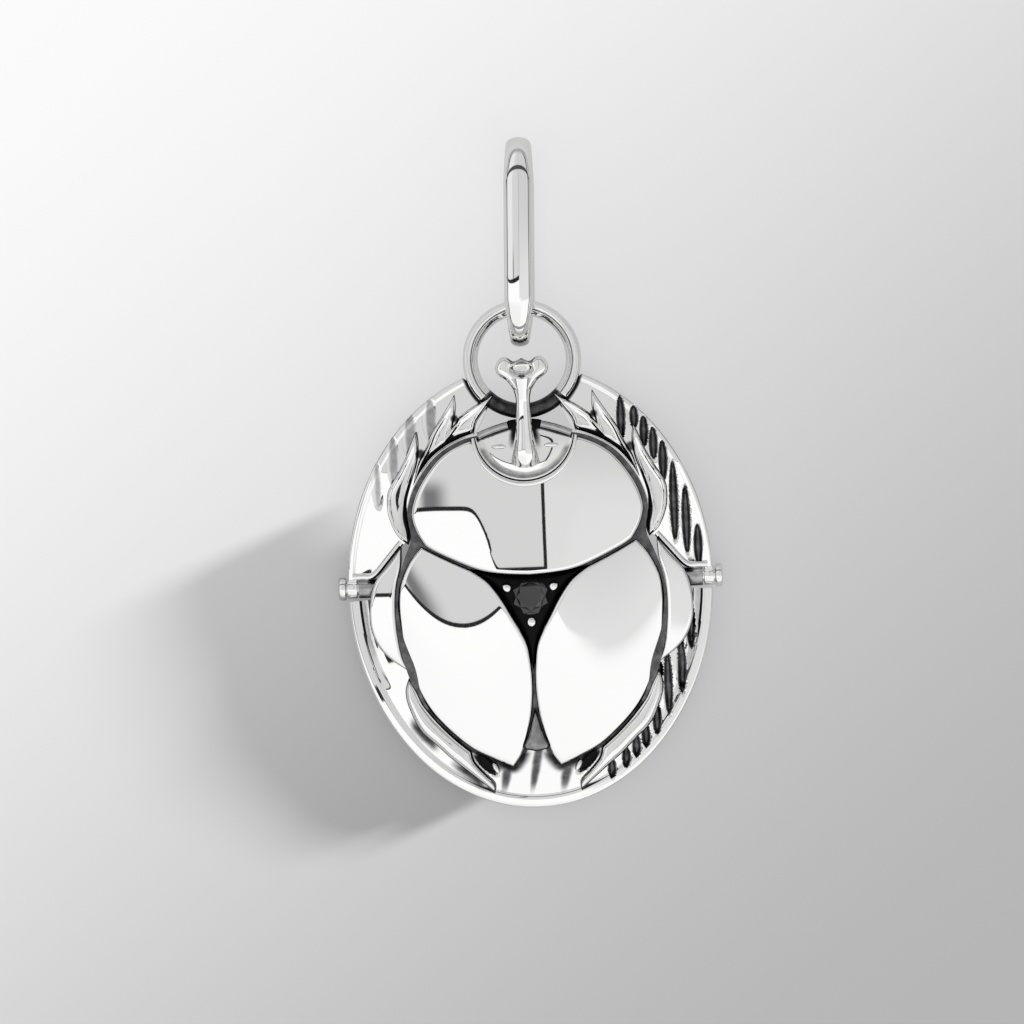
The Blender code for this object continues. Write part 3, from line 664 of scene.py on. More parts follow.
def make_collar():
    """A section of the collar, with a thin groove in it, spun round the eye's centre."""
    section = [(4.3, -0.1), (4.36, 0.5), (4.74, 0.93), (GROOVE_AT, 0.83), (4.93, 0.98), (5.38, 1.0),
               (5.6, 0.72), (EYE_REACH, -0.1)]
    collar = start(bpy.ops.mesh.primitive_circle_add, vertices=len(section), radius=1.0, fill_type="NGON")
    collar.name = "eye_collar"
    places = np.array([(radius, 0.0, EYE_HEIGHT + rise) for radius, rise in section])
    order = np.argsort(np.arctan2(places[:, 2] - EYE_HEIGHT - 0.2, places[:, 0] - 4.95))
    flat = get_places(collar)
    turn = np.argsort(np.arctan2(flat[:, 1], flat[:, 0]))
    shaped = np.zeros_like(flat)
    shaped[turn] = places[order]
    set_places(collar, shaped)
    collar.data.transform(Matrix.Rotation(math.radians(-43), 4, "Z"))
    bpy.ops.object.mode_set(mode="EDIT")
    bpy.ops.mesh.select_all(action="SELECT")
    bpy.ops.mesh.spin(steps=120, angle=math.radians(266), center=(0, 0, 0), axis=(0, 0, -1))
    bpy.ops.object.mode_set(mode="OBJECT")
    recalculate(collar)
    places = get_places(collar)
    set_tarnish_and_shade(collar, ease(0.06, 0.03, np.abs(np.hypot(places[:, 0], places[:, 1]) - GROOVE_AT)))
    places[:, 1] += EYE_CENTRE[1]
    set_places(collar, places)
    bevel_edges(collar, 0.07, 24)
    return collar


eye = make_eye()
eye_collar = make_collar()
print("eye collar from", get_places(eye_collar).min(0).round(2), "to", get_places(eye_collar).max(0).round(2))


# %% [markdown]
# Lugs and rails
#
# The yoke ends in two lugs, short round bars that the pins go through. A lug, a knuckle and a pin are all
# cylinders on one axis, so one helper makes them. A thin rail of wire leads from the front leg out to each
# lug.

# %% Lugs and lower rails
def axis_drum(name, side, inner, outer, radius, soften=0.08):
    """A round bar on the pins' axis with softened edges."""
    middle = side * (inner + outer) / 2
    drum = start(bpy.ops.mesh.primitive_cylinder_add, vertices=48, radius=radius * MM,
                 depth=(outer - inner) * MM, location=(middle * MM, 0, PIN_HEIGHT * MM),
                 rotation=(0, math.radians(90), 0))
    drum.name = name
    freeze(drum)
    bevel_edges(drum, soften)
    set_tarnish_and_shade(drum, 0.0)
    return drum


LUG_OUTER = YOKE_HIGH.x
LUG_INNER = LUG_OUTER - 0.95
lugs = [axis_drum("lug", side, LUG_INNER, LUG_OUTER, LUG_RADIUS) for side in (1, -1)]


def make_lower_rail(side):
    """The bright rounded edge from the front leg out to the lug."""
    route = smooth([(12.2, 4.25), (13.5, 2.75), (14.9, 1.25), (16.2, 1.12), (17.0, 1.1)], 8)
    path = [(x * side, y, PLATE_TOP + 0.3) for x, y in route]
    return wire("lower_rail", path, 0.31)


rails = [make_lower_rail(side) for side in (1, -1)]

yoke = join("yoke_casting", [*arms, *front_legs, eye, eye_collar, *lugs, *rails])
shade(yoke, 42)
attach(yoke, "yoke")
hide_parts("yoke")
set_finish(yoke, "silver")
print("yoke casting:", len(yoke.data.polygons), "faces")


# %% [markdown]
# Pins
#
# A rivet runs through each lug. Only its head shows: a short drum with a rounded edge.


# %% The pins
PIN_RADIUS = 0.55


def make_pin(name, side):
    shaft = axis_drum(name + "_shaft", side, PIN_LOW.x, PIN_HIGH.x - 0.3, PIN_RADIUS)
    head = axis_drum(name, side, LUG_OUTER + 0.1, PIN_HIGH.x, (PIN_HIGH.z - PIN_LOW.z) / 2, soften=0.24)
    pin = join(name, [head, shaft])
    shade(pin, 40)
    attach(pin, "yoke")
    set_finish(pin, "silver")
    return pin


for node, side in (("pin_right", 1), ("pin_left", -1)):
    pin = make_pin(node + "_rivet", side)
    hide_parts(node)
    print(node, "has", len(pin.data.polygons), "faces")


# %% [markdown]
# The bail
#
# The bail is an oblong loop of flattened wire that stands on its narrow side. It gets thinner where it
# passes through the eye, and is darker there. Two half circles and two straight runs make its path.


# %% The bail
BAIL_LEAN = 1.7
BAIL_THICK, BAIL_WIDE = 1.6, 2.7


def half_circle(middle, height, radius, first, thinning):
    """Places on half a circle, and how thick the wire is at each."""
    angles = np.radians(np.linspace(first, first + 180, 49))
    places = [(0.0, middle + radius * math.sin(a), height + radius * math.cos(a)) for a in angles]
    return places, [1.0 - thinning * abs(math.sin(a)) for a in angles]


def straight_run(start_at, end_at, count=24):
    """The places between two ends, without the ends."""
    return [tuple(a + (b - a) * (k / count) for a, b in zip(start_at, end_at)) for k in range(1, count)]


def make_bail():
    depth = BAIL_HIGH.z - BAIL_LOW.z
    radius = (depth - BAIL_THICK) / 2
    low = BAIL_LOW.y + radius + BAIL_THICK / 2 * 0.66
    high = BAIL_HIGH.y - radius - BAIL_THICK / 2 * 0.88
    top, top_shares = half_circle(high, depth / 2, radius, 0, 0.12)
    foot, foot_shares = half_circle(low, depth / 2, radius, 180, 0.34)
    rear = straight_run(top[-1], foot[0])
    front = straight_run(foot[-1], top[0])
    shares = [*top_shares, *[1.0] * len(rear), *foot_shares, *[1.0] * len(front)]
    bail = wire("bail_loop", [*top, *rear, *foot, *front], BAIL_THICK / 2, shares, sides=32, closed=True,
                squeeze=(BAIL_WIDE / BAIL_THICK, 1.0, 1.0))
    places = get_places(bail)
    in_front = ease(depth * 0.55, depth * 0.9, places[:, 2])
    from_middle = np.clip(np.abs(places[:, 1] - (low + high) / 2 - 0.6), 0, 7)
    places[:, 2] -= in_front * 0.0085 * from_middle**2
    set_places(bail, places)
    set_tarnish_and_shade(bail, 0.58 * ease(BAIL_LOW.y + 1.2, BAIL_LOW.y + 0.3, places[:, 1]))
    hangs_at = Matrix.Translation((0.0, (EYE_CENTRE[1] + EYE_INNER) * MM, 0.0))
    lean = Matrix.Rotation(math.radians(-BAIL_LEAN), 4, "Z")
    bail.data.transform(hangs_at @ lean @ hangs_at.inverted())
    shade(bail, 60)
    return bail


bail = make_bail()
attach(bail, "yoke")
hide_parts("bail")
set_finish(bail, "silver")
print("bail:", len(bail.data.polygons), "faces")

# %% [markdown]
# The beetle's body
#
# Under the beetle a bowl-shaped core carries everything. It ends below in the flat that the pendant lies
# on. A sphere is a good start for it, since its rings can each become one level of the bowl. The dish is a
# strip between two rails, as the yoke's arms are.


# %% The core and the dish
CORE = both_sides([*outline([(0.0, -15.6), (2.6, -15.9), (6.0, -15.9), (8.1, -14.3), (10.0, -12.4),
                             (11.2, -10.4), (12.1, -8.0), (12.7, -5.6), (12.93, -3.4), (12.95, -1.4),
                             (12.6, 0.7), (11.9, 2.7), (11.3, 4.1)],
                            [(11.3, 4.1), (11.2, 4.9), (11.4, 6.1), (11.45, 7.3), (10.9, 9.1),
                             (9.9, 10.8), (8.7, 12.2), (7.4, 13.15), (5.9, 13.85), (4.3, 14.2)],
                            [(4.3, 14.2), (2.9, 14.4), (1.5, 14.7), (0.0, 14.9)]),
                   (0.0, 14.9)])
CORE_FLANGE = 0.35


def make_core():
    """A sphere whose rings become the levels of the bowl, each (share of the outline, height)."""
    around = 160
    levels = [(0.0, 0.0), (0.3, 0.0), (0.53, 0.0), (0.57, 0.02), (0.66, 0.2), (0.75, 0.42), (0.84, 0.68),
              (0.91, 1.1), (0.94, PIN_HEIGHT), (0.945, CORE_TOP - CORE_FLANGE), (1.0, CORE_TOP - CORE_FLANGE),
              (1.0, CORE_TOP), (0.6, CORE_TOP), (0.0, CORE_TOP)]
    core = start(bpy.ops.mesh.primitive_uv_sphere_add, segments=around, ring_count=len(levels) - 1,
                 radius=1.0)
    core.name = "core"
    flat = get_places(core) * MM
    rise = np.arcsin(np.clip(flat[:, 2], -1, 1)) / (math.pi / 2)
    level = np.round((1 + rise) / 2 * (len(levels) - 1)).astype(int)
    points = outline_points(flat, CORE, around)
    feet = feet_on([(0.0, 11.0), (0.0, -11.0)], points)
    share = np.array([s for s, _ in levels])[level][:, None]
    feet = feet * np.clip(share * 2, 0, 1)
    height = np.array([z for _, z in levels])[level]
    spot = feet + (points - feet) * share
    height = height - 0.75 * ease(-7.0, -15.0, spot[:, 1]) * (height > PIN_HEIGHT + 0.1)
    set_places(core, np.column_stack([spot, height]))
    recalculate(core)
    set_tarnish_and_shade(core, 0.78 * ease(1.6, 2.4, get_places(core)[:, 2]))
    return core


WING = outline([(0.14, -8.6), (0.4, -6.2), (1.0, -4.65), (1.92, -3.0), (2.84, -1.33), (4.0, 0.22),
                (5.5, 1.35)],
               [(5.5, 1.35), (7.75, 2.48), (10.1, 3.75)],
               [(10.1, 3.75), (11.17, 2.51), (12.18, 0.53), (12.54, -1.43), (12.51, -3.38), (12.3, -5.56),
                (11.72, -7.97), (10.79, -10.36), (9.62, -12.26), (7.84, -14.13), (5.84, -15.77),
                (3.6, -16.9), (2.25, -17.5)],
               [(2.25, -17.5), (1.4, -16.3), (0.82, -14.6), (0.36, -12.6), (0.14, -10.4), (0.14, -8.6)])
WING[:, 0] *= 1.012
HIND_LEG = outline([(11.94, -8.71), (12.3, -9.9), (12.08, -11.38), (11.07, -13.66), (9.5, -15.23),
                    (8.24, -16.47), (6.98, -17.51), (5.47, -18.79), (4.1, -19.95)],
                   [(4.1, -19.95), (4.1, -19.1), (4.95, -18.1), (5.92, -16.9), (6.2, -15.9)],
                   [(6.2, -15.9), (7.83, -14.51), (9.35, -12.98), (10.63, -11.33), (11.3, -9.8),
                    (11.94, -8.71)])


def strokes_and_painted_shade(spot):
    """Soft dark strokes between the wing tips, and painted shade round the ends of the wing cases, by the
    feet and along the left hind leg.
    """
    x, y = spot[:, 0], spot[:, 1]
    dark = np.zeros(len(x))
    for centre, width in ((-2.9, 1.05), (-0.2, 0.85), (2.8, 1.1)):
        taper = width * (0.55 + 0.45 * ease(-20.8, -17.0, y))
        across = ease(1.0, 0.2, np.abs(x - centre - 0.2 * (y + 18)) / taper)
        dark = np.maximum(dark, 0.8 * across * ease(-21.2, -18.8, y) * ease(-15.0, -16.0, y))
    # Painted shade: a dark rim round the low ends of the wing cases, wider at their tips.
    low = np.flatnonzero(y < -9)
    tips = np.minimum(edge_distance(spot[low], WING), edge_distance(spot[low], on_side(WING, -1)))
    dark[low] = np.maximum(dark[low], 0.9 * ease(1.6, 0.2, tips) * ease(-15.5, -16.5, y[low]))
    dark[low] = np.maximum(dark[low], 0.85 * ease(0.7, 0.25, tips))
    # Painted shade along the outer side of the left hind leg only.
    leg = edge_distance(spot[low], on_side(HIND_LEG, -1))
    place = np.maximum(ease(3.2, 1.2, np.hypot(x[low] + 11.4, y[low] + 14.8)),
                       ease(3.4, 1.2, np.hypot(x[low] + 7.1, y[low] + 18.9)))
    dark[low] = np.maximum(dark[low], 0.85 * ease(1.2, 0.15, leg) * place)
    return dark


def dish_height(spot, share, width):
    """From the body out: a floor, a blackened channel, then the bright flat rim."""
    from_rim = (1 - share) * width
    floor = PLATE_TOP - 0.2 + 0.15 * np.clip(from_rim - 1.0, 0, 5.5)
    rim = ease(1.15, 0.85, from_rim)
    rim_top = PLATE_TOP - 0.1 * np.clip(1 - from_rim / 1.0, 0, 1)
    softened = 0.15 * np.clip(1 - from_rim / 0.22, 0, 1) ** 2
    at_side = np.where(spot[:, 0] > 0, ease(-15.0, -9.0, spot[:, 1]), ease(-10.0, -5.0, spot[:, 1]))
    channel = ease(0.95, 1.15, from_rim) * ease(2.3, 1.5, from_rim) * at_side
    cut = groove_depth(spot, sharp(DISH_GROOVES)) * ease(0.35, 0.9, from_rim)
    turned = np.column_stack([np.abs(spot[:, 0]) - 4.85, spot[:, 1] + 17.15]) @ [[0.7, -0.7], [0.7, 0.7]]
    hollow = ease(1.15, 0.7, np.hypot(turned[:, 0] / 1.5, turned[:, 1] / 0.5))
    z = floor * (1 - rim) + rim_top * rim - softened - 0.3 * channel - GROOVE_DEPTH * cut - 0.35 * hollow
    dark = np.maximum(np.maximum(0.8 * ease(0.12, 0.6, cut), hollow), 0.5 * channel)
    # Added to the blackening: dark strokes between the wing tips and painted shade by the wing cases and the
    # left hind leg.
    return z, np.maximum(dark, strokes_and_painted_shade(spot))


def make_dish():
    first = math.asin((LUG_RADIUS + 0.3) / DISH_DROP)
    outer = oval_point(-np.linspace(first, math.pi - first, 420), DISH_DROP)
    inner = outer * [0.56, 0.56]
    return strip("dish", inner, outer, dish_height, across=64)


core = make_core()
dish = make_dish()
print("core and dish:", len(core.data.polygons), len(dish.data.polygons), "faces")

# %% [markdown]
# Shield, wing cases and legs
#
# These are the big mirrors of the pendant. Their outlines leave a hair's breadth between them, and the
# edge of each rolls down into the dark.


# %% The shield with its round notch
NOTCH_RADIUS = 4.9
NOTCH_CENTRE = (0.0, 14.55)
SHIELD_TOP = SCARAB_HIGH.z - 0.58


def notch_arc(count=24):
    """The notch, from its right end round below to its left end."""
    angles = np.radians(np.linspace(-25, -155, count))
    return np.stack([NOTCH_RADIUS * np.cos(angles), NOTCH_CENTRE[1] + NOTCH_RADIUS * np.sin(angles)], 1)


def shield_surface(x, y):
    """Two lobes and a flatter middle. The turn of each lobe is what bends the reflected lines."""
    lobe = 1 - np.exp(-((np.maximum(x - 2.8, 0) / 1.35) ** 2))
    turn = 1.65 + 6.2 * lobe - 0.02 * np.maximum(x - 8, 0) ** 2
    fall = 0.06 * (np.sqrt(soft_positive(turn - y) ** 2 + 9) - 3)
    return SHIELD_TOP + 0.041 * y - 0.012 * x**2 - fall - 0.014 * soft_positive(y - 8.5) ** 2


SHIELD = np.array([*SHIELD_EDGE, (5.05, 13.65), *notch_arc(), *on_side(SHIELD_EDGE[::-1], -1)[:-1]])
shield = mirror_plate("shield", SHIELD, (0.0, 2.6), CORE_TOP - 0.6, shield_surface, around=512, rings=40)
print("shield:", len(shield.data.polygons), "faces, top at", get_places(shield)[:, 2].max().round(2))

# %% [markdown]
# Wing cases
#
# The two wing cases are one outline and its mirror image. What they reflect depends on how fast their back
# turns away from the viewer, so their height is a formula and not a sculpted shape.

# %% The wing cases
WING_TOP = SHIELD_TOP - 0.12


def wing_surface(x, y):
    """One broad convex back, highest by the seam, that falls off towards the tail and the sides."""
    turn = -4.4 + 0.14 * (x - 6.5) ** 2
    fall = 0.11 * (np.sqrt(soft_positive(turn - y) ** 2 + 2.5**2) - 2.5)
    return WING_TOP + 0.05 * y - 0.0065 * soft_positive(y - turn) ** 2 - fall - 0.01 * (x + 1) ** 2


wings = [mirror_plate("wing_case", on_side(WING, side), (side * 6.3, -6.5), CORE_TOP - 1.2, wing_surface)
         for side in (1, -1)]
print("wing cases:", [len(wing.data.polygons) for wing in wings], "faces, top at",
      get_places(wings[0])[:, 2].max().round(2))

# %% [markdown]
# Abdomen and legs
#
# A dark tip of the abdomen shows between the ends of the wing cases. The middle legs are broad and
# polished like the wing cases, so they are made the same way. The hind legs are pillows, and a bright drop
# lies in the hollow of each foot.

# %% The tip of the abdomen between the wing tips
ABDOMEN = both_sides([*outline([(0.0, -12.0), (0.35, -13.2), (0.75, -14.6), (1.2, -15.5), (1.0, -15.9),
                                (0.0, -16.1)]),
                      (0.0, -16.1)])
abdomen = pillow("abdomen_tip", ABDOMEN, [(0.0, -13.4), (0.0, -15.6)], CORE_TOP - 1.0, CORE_TOP + 0.1,
                 CORE_TOP + 0.5, roll=0.3, around=96, rings=8)
darken(abdomen, 0.68)
print("abdomen tip:", len(abdomen.data.polygons), "faces")

# %% The middle and hind legs
MIDDLE_LEG = outline([(12.18, 3.81), (13.33, 2.3), (14.7, 0.75), (15.3, -1.05), (15.45, -3.0),
                      (15.2, -4.5), (14.5, -5.9), (13.34, -7.06), (11.9, -8.05)],
                     [(11.9, -8.05), (12.5, -6.6), (12.8, -5.0), (12.95, -3.2), (12.95, -1.4),
                      (12.75, 0.3), (12.3, 2.0), (12.18, 3.81)])
HIND_LEG_SPINE = [(11.6, -10.4), (10.3, -13.2), (8.2, -15.4), (6.0, -17.6)]


def leg_surface(x, y):
    """A middle leg's top: bowed along its length and falling outwards."""
    out = x - 12.2
    return PLATE_TOP + 1.5 + 0.05 * y - 0.01 * (y + 0.85) ** 2 - 0.09 * out - 0.015 * out**2


def make_hind_leg(side):
    return pillow("hind_leg", on_side(HIND_LEG, side), on_side(HIND_LEG_SPINE, side), PIN_HEIGHT + 0.3,
                  PLATE_TOP + 0.3, PLATE_TOP + 1.05, roll=0.45, bulge=0.3, around=176)


def make_toe(side):
    """The bright drop inside the hollow of the foot."""
    return drop((0.26, 0.6, 0.3), (side * 3.95, -17.6, PLATE_TOP + 0.5), turn=math.radians(-28 * side),
                segments=24, rings=14)


middle_legs = [mirror_plate("middle_leg", on_side(MIDDLE_LEG, side), (side * 13.9, -2.4), PIN_HEIGHT + 0.1,
                            leg_surface, around=256, rings=20) for side in (1, -1)]
hind_legs = [make_hind_leg(side) for side in (1, -1)]
toes = [make_toe(side) for side in (1, -1)]
print("legs:", len(middle_legs + hind_legs))

# %% [markdown]
# The setting
#
# Between the shield and the wing cases lies a black three-cornered field with the stone in its middle.
# Three beads hold the stone, raised from the metal with a beading tool.

# %% The setting and its beads
SETTING_TOP = STONE_HIGH.z - 0.9
SETTING = both_sides([*outline([(0.0, -8.4), (0.6, -6.1), (1.2, -4.65), (2.1, -3.0), (3.0, -1.33),
                                (4.2, 0.22), (5.8, 1.5)],
                               [(5.8, 1.5), (2.8, 1.0), (0.0, 0.9)]),
                      (0.0, 0.9)])
STONE_CENTRE = (0.0, (STONE_LOW.y + STONE_HIGH.y) / 2)
STONE_RADIUS = STONE_HIGH.x
BEAD_REACH = STONE_RADIUS + 0.06 + 0.15 + 0.47


def make_setting():
    plate = pillow("setting", SETTING, [(0.0, -1.2), (0.0, -3.0)], CORE_TOP - 0.5, SETTING_TOP - 0.5,
                   SETTING_TOP, roll=0.3, around=128, rings=10)
    set_tarnish_and_shade(plate, 1.0)
    return plate


def make_bead(angle):
    x = BEAD_REACH * math.cos(angle)
    y = STONE_CENTRE[1] + BEAD_REACH * math.sin(angle)
    return drop((0.5, 0.5, 0.36), (x, y, SETTING_TOP + 0.3))


setting = make_setting()
beads = [make_bead(math.radians(angle)) for angle in (22, 158, 270)]
print("beads:", len(beads), "at", round(BEAD_REACH, 2), "mm from the stone's centre")

# %% [markdown]
# Head and horn
#
# The head is a plate under two slanted bars, like a gable. A crescent, the collar of the notch, closes it
# towards the shield. The horn rises from the head over the eye's wire, thins, and opens into a forked cup.

# %% The head, the collar of the notch and the horn
HEAD_TOP = CORE_TOP + 0.6
HEAD = both_sides([*outline([(0.0, 9.4), (2.9, 10.4), (4.4, 12.4), (4.5, 14.0), (2.9, 14.75),
                             (1.95, 15.05), (1.45, 15.5), (0.0, 15.6)]),
                   (0.0, 15.6)])
BAR = [(1.6, 15.05), (2.2, 14.9), (2.9, 14.7), (3.8, 14.38), (4.45, 14.1)]
HORN_RADIUS = 0.74
EYE_TOP = EYE_HEIGHT + EYE_WIRE / 2
HORN_HEIGHT = EYE_TOP + 0.45 + HORN_RADIUS


def make_head():
    """The head's plate with painted shade by the collar, beside the horn and under and between the bars, its
    two bars and two low bumps.
    """
    plate = pillow("head_plate", HEAD, [(0.0, 11.0), (0.0, 13.6)], CORE_TOP - 1.3, CORE_TOP + 0.1, HEAD_TOP,
                   roll=0.5, around=128, rings=18)
    places = get_places(plate)
    from_notch = np.hypot(places[:, 0], places[:, 1] - NOTCH_CENTRE[1])
    # Painted shade: by the notch's collar, beside the horn's stem, under the bars and between them.
    shade_by_the_collar = ease(3.4, 4.6, from_notch) * ease(13.6, 12.6, places[:, 1])
    across, up = np.abs(places[:, 0]), places[:, 1]
    from_horn = across - 0.84 - 0.24 * np.clip(14.3 - up, 0, 2)
    shadow_beside_the_horn = ease(0.95, 0.1, from_horn) * ease(11.6, 14.3, up)
    shade_under_the_bars = ease(0.64, 0.48, 15.53 - 0.32 * across - up)
    shade_between_the_bars = ease(1.95, 1.7, across) * ease(14.3, 14.7, up)
    darken(plate, 0.66 * shade_by_the_collar, shadow_beside_the_horn, 0.85 * shade_under_the_bars, shade_between_the_bars)
    pieces = [plate]
    for side in (1, -1):
        pieces.append(wire("gable_bar", [(side * x, y, HEAD_TOP - 0.02) for x, y in BAR], 0.33))
        set_tarnish_and_shade(pieces[-1], 0.58)
        pieces.append(drop((0.7, 0.24, 0.2), (side * 2.5, 13.0, HEAD_TOP), tarnish=0.3))
    return pieces


def make_notch_collar():
    """A crescent: a bright rounded band, a blackened line and a thin lip round the head."""
    angles = np.radians(np.linspace(-8, -172, 160))
    depth = np.sin(-angles)
    turn = np.stack([np.cos(angles), np.sin(angles)], 1)
    inner = np.array(NOTCH_CENTRE) + turn * 4.6
    outer = np.array(NOTCH_CENTRE) + turn * (4.98 + 0.52 * depth**0.8)[:, None]

    def height(spot, share, width):
        crown = SHIELD_TOP + 0.28 * ease(14.2, 10.5, spot[:, 1]) - 0.12
        band = 0.3 * np.sqrt(np.clip(1 - ((share - 0.68) / 0.33) ** 2, 0, 1))
        lip = 0.16 * np.sqrt(np.clip(1 - ((share - 0.12) / 0.12) ** 2, 0, 1))
        return crown + np.maximum(band, lip), ease(0.09, 0.03, np.abs(share - 0.29))

    return strip("notch_collar", inner, outer, height, across=30, floor=CORE_TOP)


def make_horn():
    """A stem of wire, thick at its foot, and a cup at its end."""
    heights = [(11.7, HEAD_TOP - 0.1), (12.4, HEAD_TOP + 0.35), (13.3, HORN_HEIGHT - 0.42),
               (14.3, HORN_HEIGHT - 0.2), (15.5, HORN_HEIGHT - 0.05), (16.6, HORN_HEIGHT + 0.08),
               (17.6, HORN_HEIGHT + 0.2), (18.6, HORN_HEIGHT + 0.34), (19.6, HORN_HEIGHT + 0.5)]
    widths = [1.95, 1.75, 1.42, 1.14, 1.0, 0.93, 0.95, 1.3, 1.7]
    path = smooth([(0.0, y, z) for y, z in heights], 8)
    shares = [share for share, in smooth([(w,) for w in widths], 8)]
    stem = wire("horn_stem", path, HORN_RADIUS, shares, sides=32)
    cup_edge = both_sides([*outline([(0.0, 17.9), (0.75, 18.25), (1.45, 19.2), (2.3, 19.85), (2.5, 20.6),
                                     (1.95, 21.4), (1.3, 21.4), (0.75, 21.05), (0.0, 21.35)]),
                           (0.0, 21.35)])

    def scooped(spot, away):
        """A rounded lip, and a scoop inside it that is open towards the viewer."""
        lip = (1 - np.exp(-away / 0.2)) ** 0.6
        middle = np.hypot(spot[:, 0] / 1.35, (spot[:, 1] - 20.35) / 0.85)
        return lip - 0.75 * ease(1.05, 0.35, middle)

    cup = pillow("horn_cup", cup_edge, [(-1.4, 20.5), (0.0, 19.9), (1.4, 20.5)], HORN_HEIGHT - 0.2,
                 HORN_HEIGHT + 0.45, HORN_HEIGHT + 1.25, around=160, rings=18, blacken=0.02, profile=scooped)
    places = get_places(cup)
    # Painted shade inside the cup under its rim, and a dark spot at its lip.
    shade_under_the_rim = ease(20.45, 20.9, places[:, 1]) * ease(1.4, 1.0, np.abs(places[:, 0]))
    at_the_lip = ease(1.3, 0.6, np.hypot(places[:, 0] / 0.42, (places[:, 1] - 19.6) / 0.2))
    darken(cup, 0.62 * shade_under_the_rim, 0.85 * at_the_lip)
    return [stem, cup]


head = make_head()
notch_collar = make_notch_collar()
horn = make_horn()
KNUCKLE_OUTER = LUG_INNER - 0.1
KNUCKLE_INNER = KNUCKLE_OUTER - 1.9
knuckles = [axis_drum("knuckle", side, KNUCKLE_INNER, KNUCKLE_OUTER, LUG_RADIUS) for side in (1, -1)]
for knuckle in knuckles:
    set_tarnish_and_shade(knuckle, 0.6)
print("head:", len(head), "horn:", len(horn))

# %% The casting
scarab = join("beetle_casting", [core, dish, abdomen, *middle_legs, *hind_legs, *toes, setting, *beads,
                                 *head, notch_collar, *horn, *knuckles])
shade(scarab, 42)
mirrors = join("shield_and_wing_cases", [shield, *wings])
shade(mirrors, 60)
for piece in (scarab, mirrors):
    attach(piece, "scarab")
    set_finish(piece, "silver")
    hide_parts("scarab")
print("faces of the casting and of the mirrors:", [len(piece.data.polygons) for piece in (scarab, mirrors)])


# %% [markdown]
# The stone
#
# A round stone, cut simply with eight sides: a flat table, a belt of facets down to the girdle, and a
# pointed pavilion below. Its facets stay flat, so it is shaded flat. The drum's levels are turned against
# each other and its faces split into triangles, which makes the facets.


# %% The stone
def make_stone():
    sides = 8
    girdle = STONE_HIGH.z - 0.45
    levels = [(0.03, STONE_LOW.z), (0.55, girdle - 0.75), (1.0, girdle - 0.08), (1.0, girdle + 0.06),
              (0.8, girdle + 0.26), (0.6, STONE_HIGH.z)]
    stone = drum_in_edit_mode("black_stone", sides)
    for _ in levels[2:]:
        bpy.ops.mesh.extrude_region_move(TRANSFORM_OT_translate={"value": (0, 0, 1)})
    bpy.ops.object.mode_set(mode="OBJECT")
    flat = get_places(stone) * MM
    level = np.round(flat[:, 2] + 0.5).astype(int)
    angle = np.arctan2(flat[:, 1], flat[:, 0]) + (level % 2) * math.pi / sides
    radius = np.array([share for share, _ in levels])[level] * STONE_RADIUS
    height = np.array([z for _, z in levels])[level]
    x = STONE_CENTRE[0] + radius * np.cos(angle)
    y = STONE_CENTRE[1] + radius * np.sin(angle)
    set_places(stone, np.column_stack([x, y, height]))
    bpy.ops.object.mode_set(mode="EDIT")
    bpy.ops.mesh.select_all(action="SELECT")
    bpy.ops.mesh.quads_convert_to_tris()
    bpy.ops.object.mode_set(mode="OBJECT")
    recalculate(stone)
    return stone


stone = make_stone()
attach(stone, "scarab")
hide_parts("stone")
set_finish(stone, "black_stone")
print("stone:", len(stone.data.polygons), "facets")


# %% [markdown]
# Materials
#
# Polished silver is a mirror. What makes it read as silver and not as chrome is its whiteness, and the black
# of old sulphide in every recess that the polishing wheel can't reach. Nodes take many lines to write, so a
# small helper adds the kinds that are used here.


# %% A helper for nodes
class Graph:
    """Adds shader nodes to a tree. Its helpers take numbers or sockets and return a socket."""

    def __init__(self, tree):
        self.nodes, self.links = tree.nodes, tree.links

    def put(self, socket, value):
        if isinstance(value, bpy.types.NodeSocket):
            self.links.new(value, socket)
        else:
            socket.default_value = value

    def math(self, operation, a, b=0.0, c=None):
        node = self.nodes.new("ShaderNodeMath")
        node.operation = operation
        self.put(node.inputs[0], a)
        self.put(node.inputs[1], b)
        if c is not None:
            self.put(node.inputs[2], c)
        return node.outputs[0]

    def spread(self, value, low=0.0, high=1.0, to_low=0.0, to_high=1.0, kind="LINEAR"):
        """to_low at low, to_high at high, and even in between."""
        node = self.nodes.new("ShaderNodeMapRange")
        node.interpolation_type = kind
        given = {"Value": value, "From Min": low, "From Max": high, "To Min": to_low, "To Max": to_high}
        for name, number in given.items():
            self.put(node.inputs[name], number)
        return node.outputs["Result"]

    def step(self, value, low, high, to_low=0.0, to_high=1.0):
        """The same with a soft start and end."""
        return self.spread(value, low, high, to_low, to_high, "SMOOTHSTEP")

    def mix(self, mask, a, b, kind="FLOAT"):
        """a where the mask is 0, b where it is 1."""
        node = self.nodes.new("ShaderNodeMix")
        node.data_type = kind
        for name, value in (("Factor", mask), ("A", a), ("B", b)):
            self.put(node.inputs[name], value)
        return node.outputs["Result"]

    def noise(self, scale, detail=2.0):
        place = self.nodes.new("ShaderNodeTexCoord")
        node = self.nodes.new("ShaderNodeTexNoise")
        for name, value in (("Vector", place.outputs["Object"]), ("Scale", scale), ("Detail", detail)):
            self.put(node.inputs[name], value)
        return node.outputs["Fac"]


def new_material(name):
    """A material, the helper for its nodes, and its shader."""
    material = bpy.data.materials.new(name)
    material.use_nodes = True
    return material, Graph(material.node_tree), material.node_tree.nodes["Principled BSDF"]


# %% Tarnish and painted shade, as a node group
SOCKETS = [("Silver", "INPUT", "Color"), ("Black", "INPUT", "Color"), ("Grain", "INPUT", "Float"),
           ("Colour", "OUTPUT", "Color"), ("Roughness", "OUTPUT", "Float")]


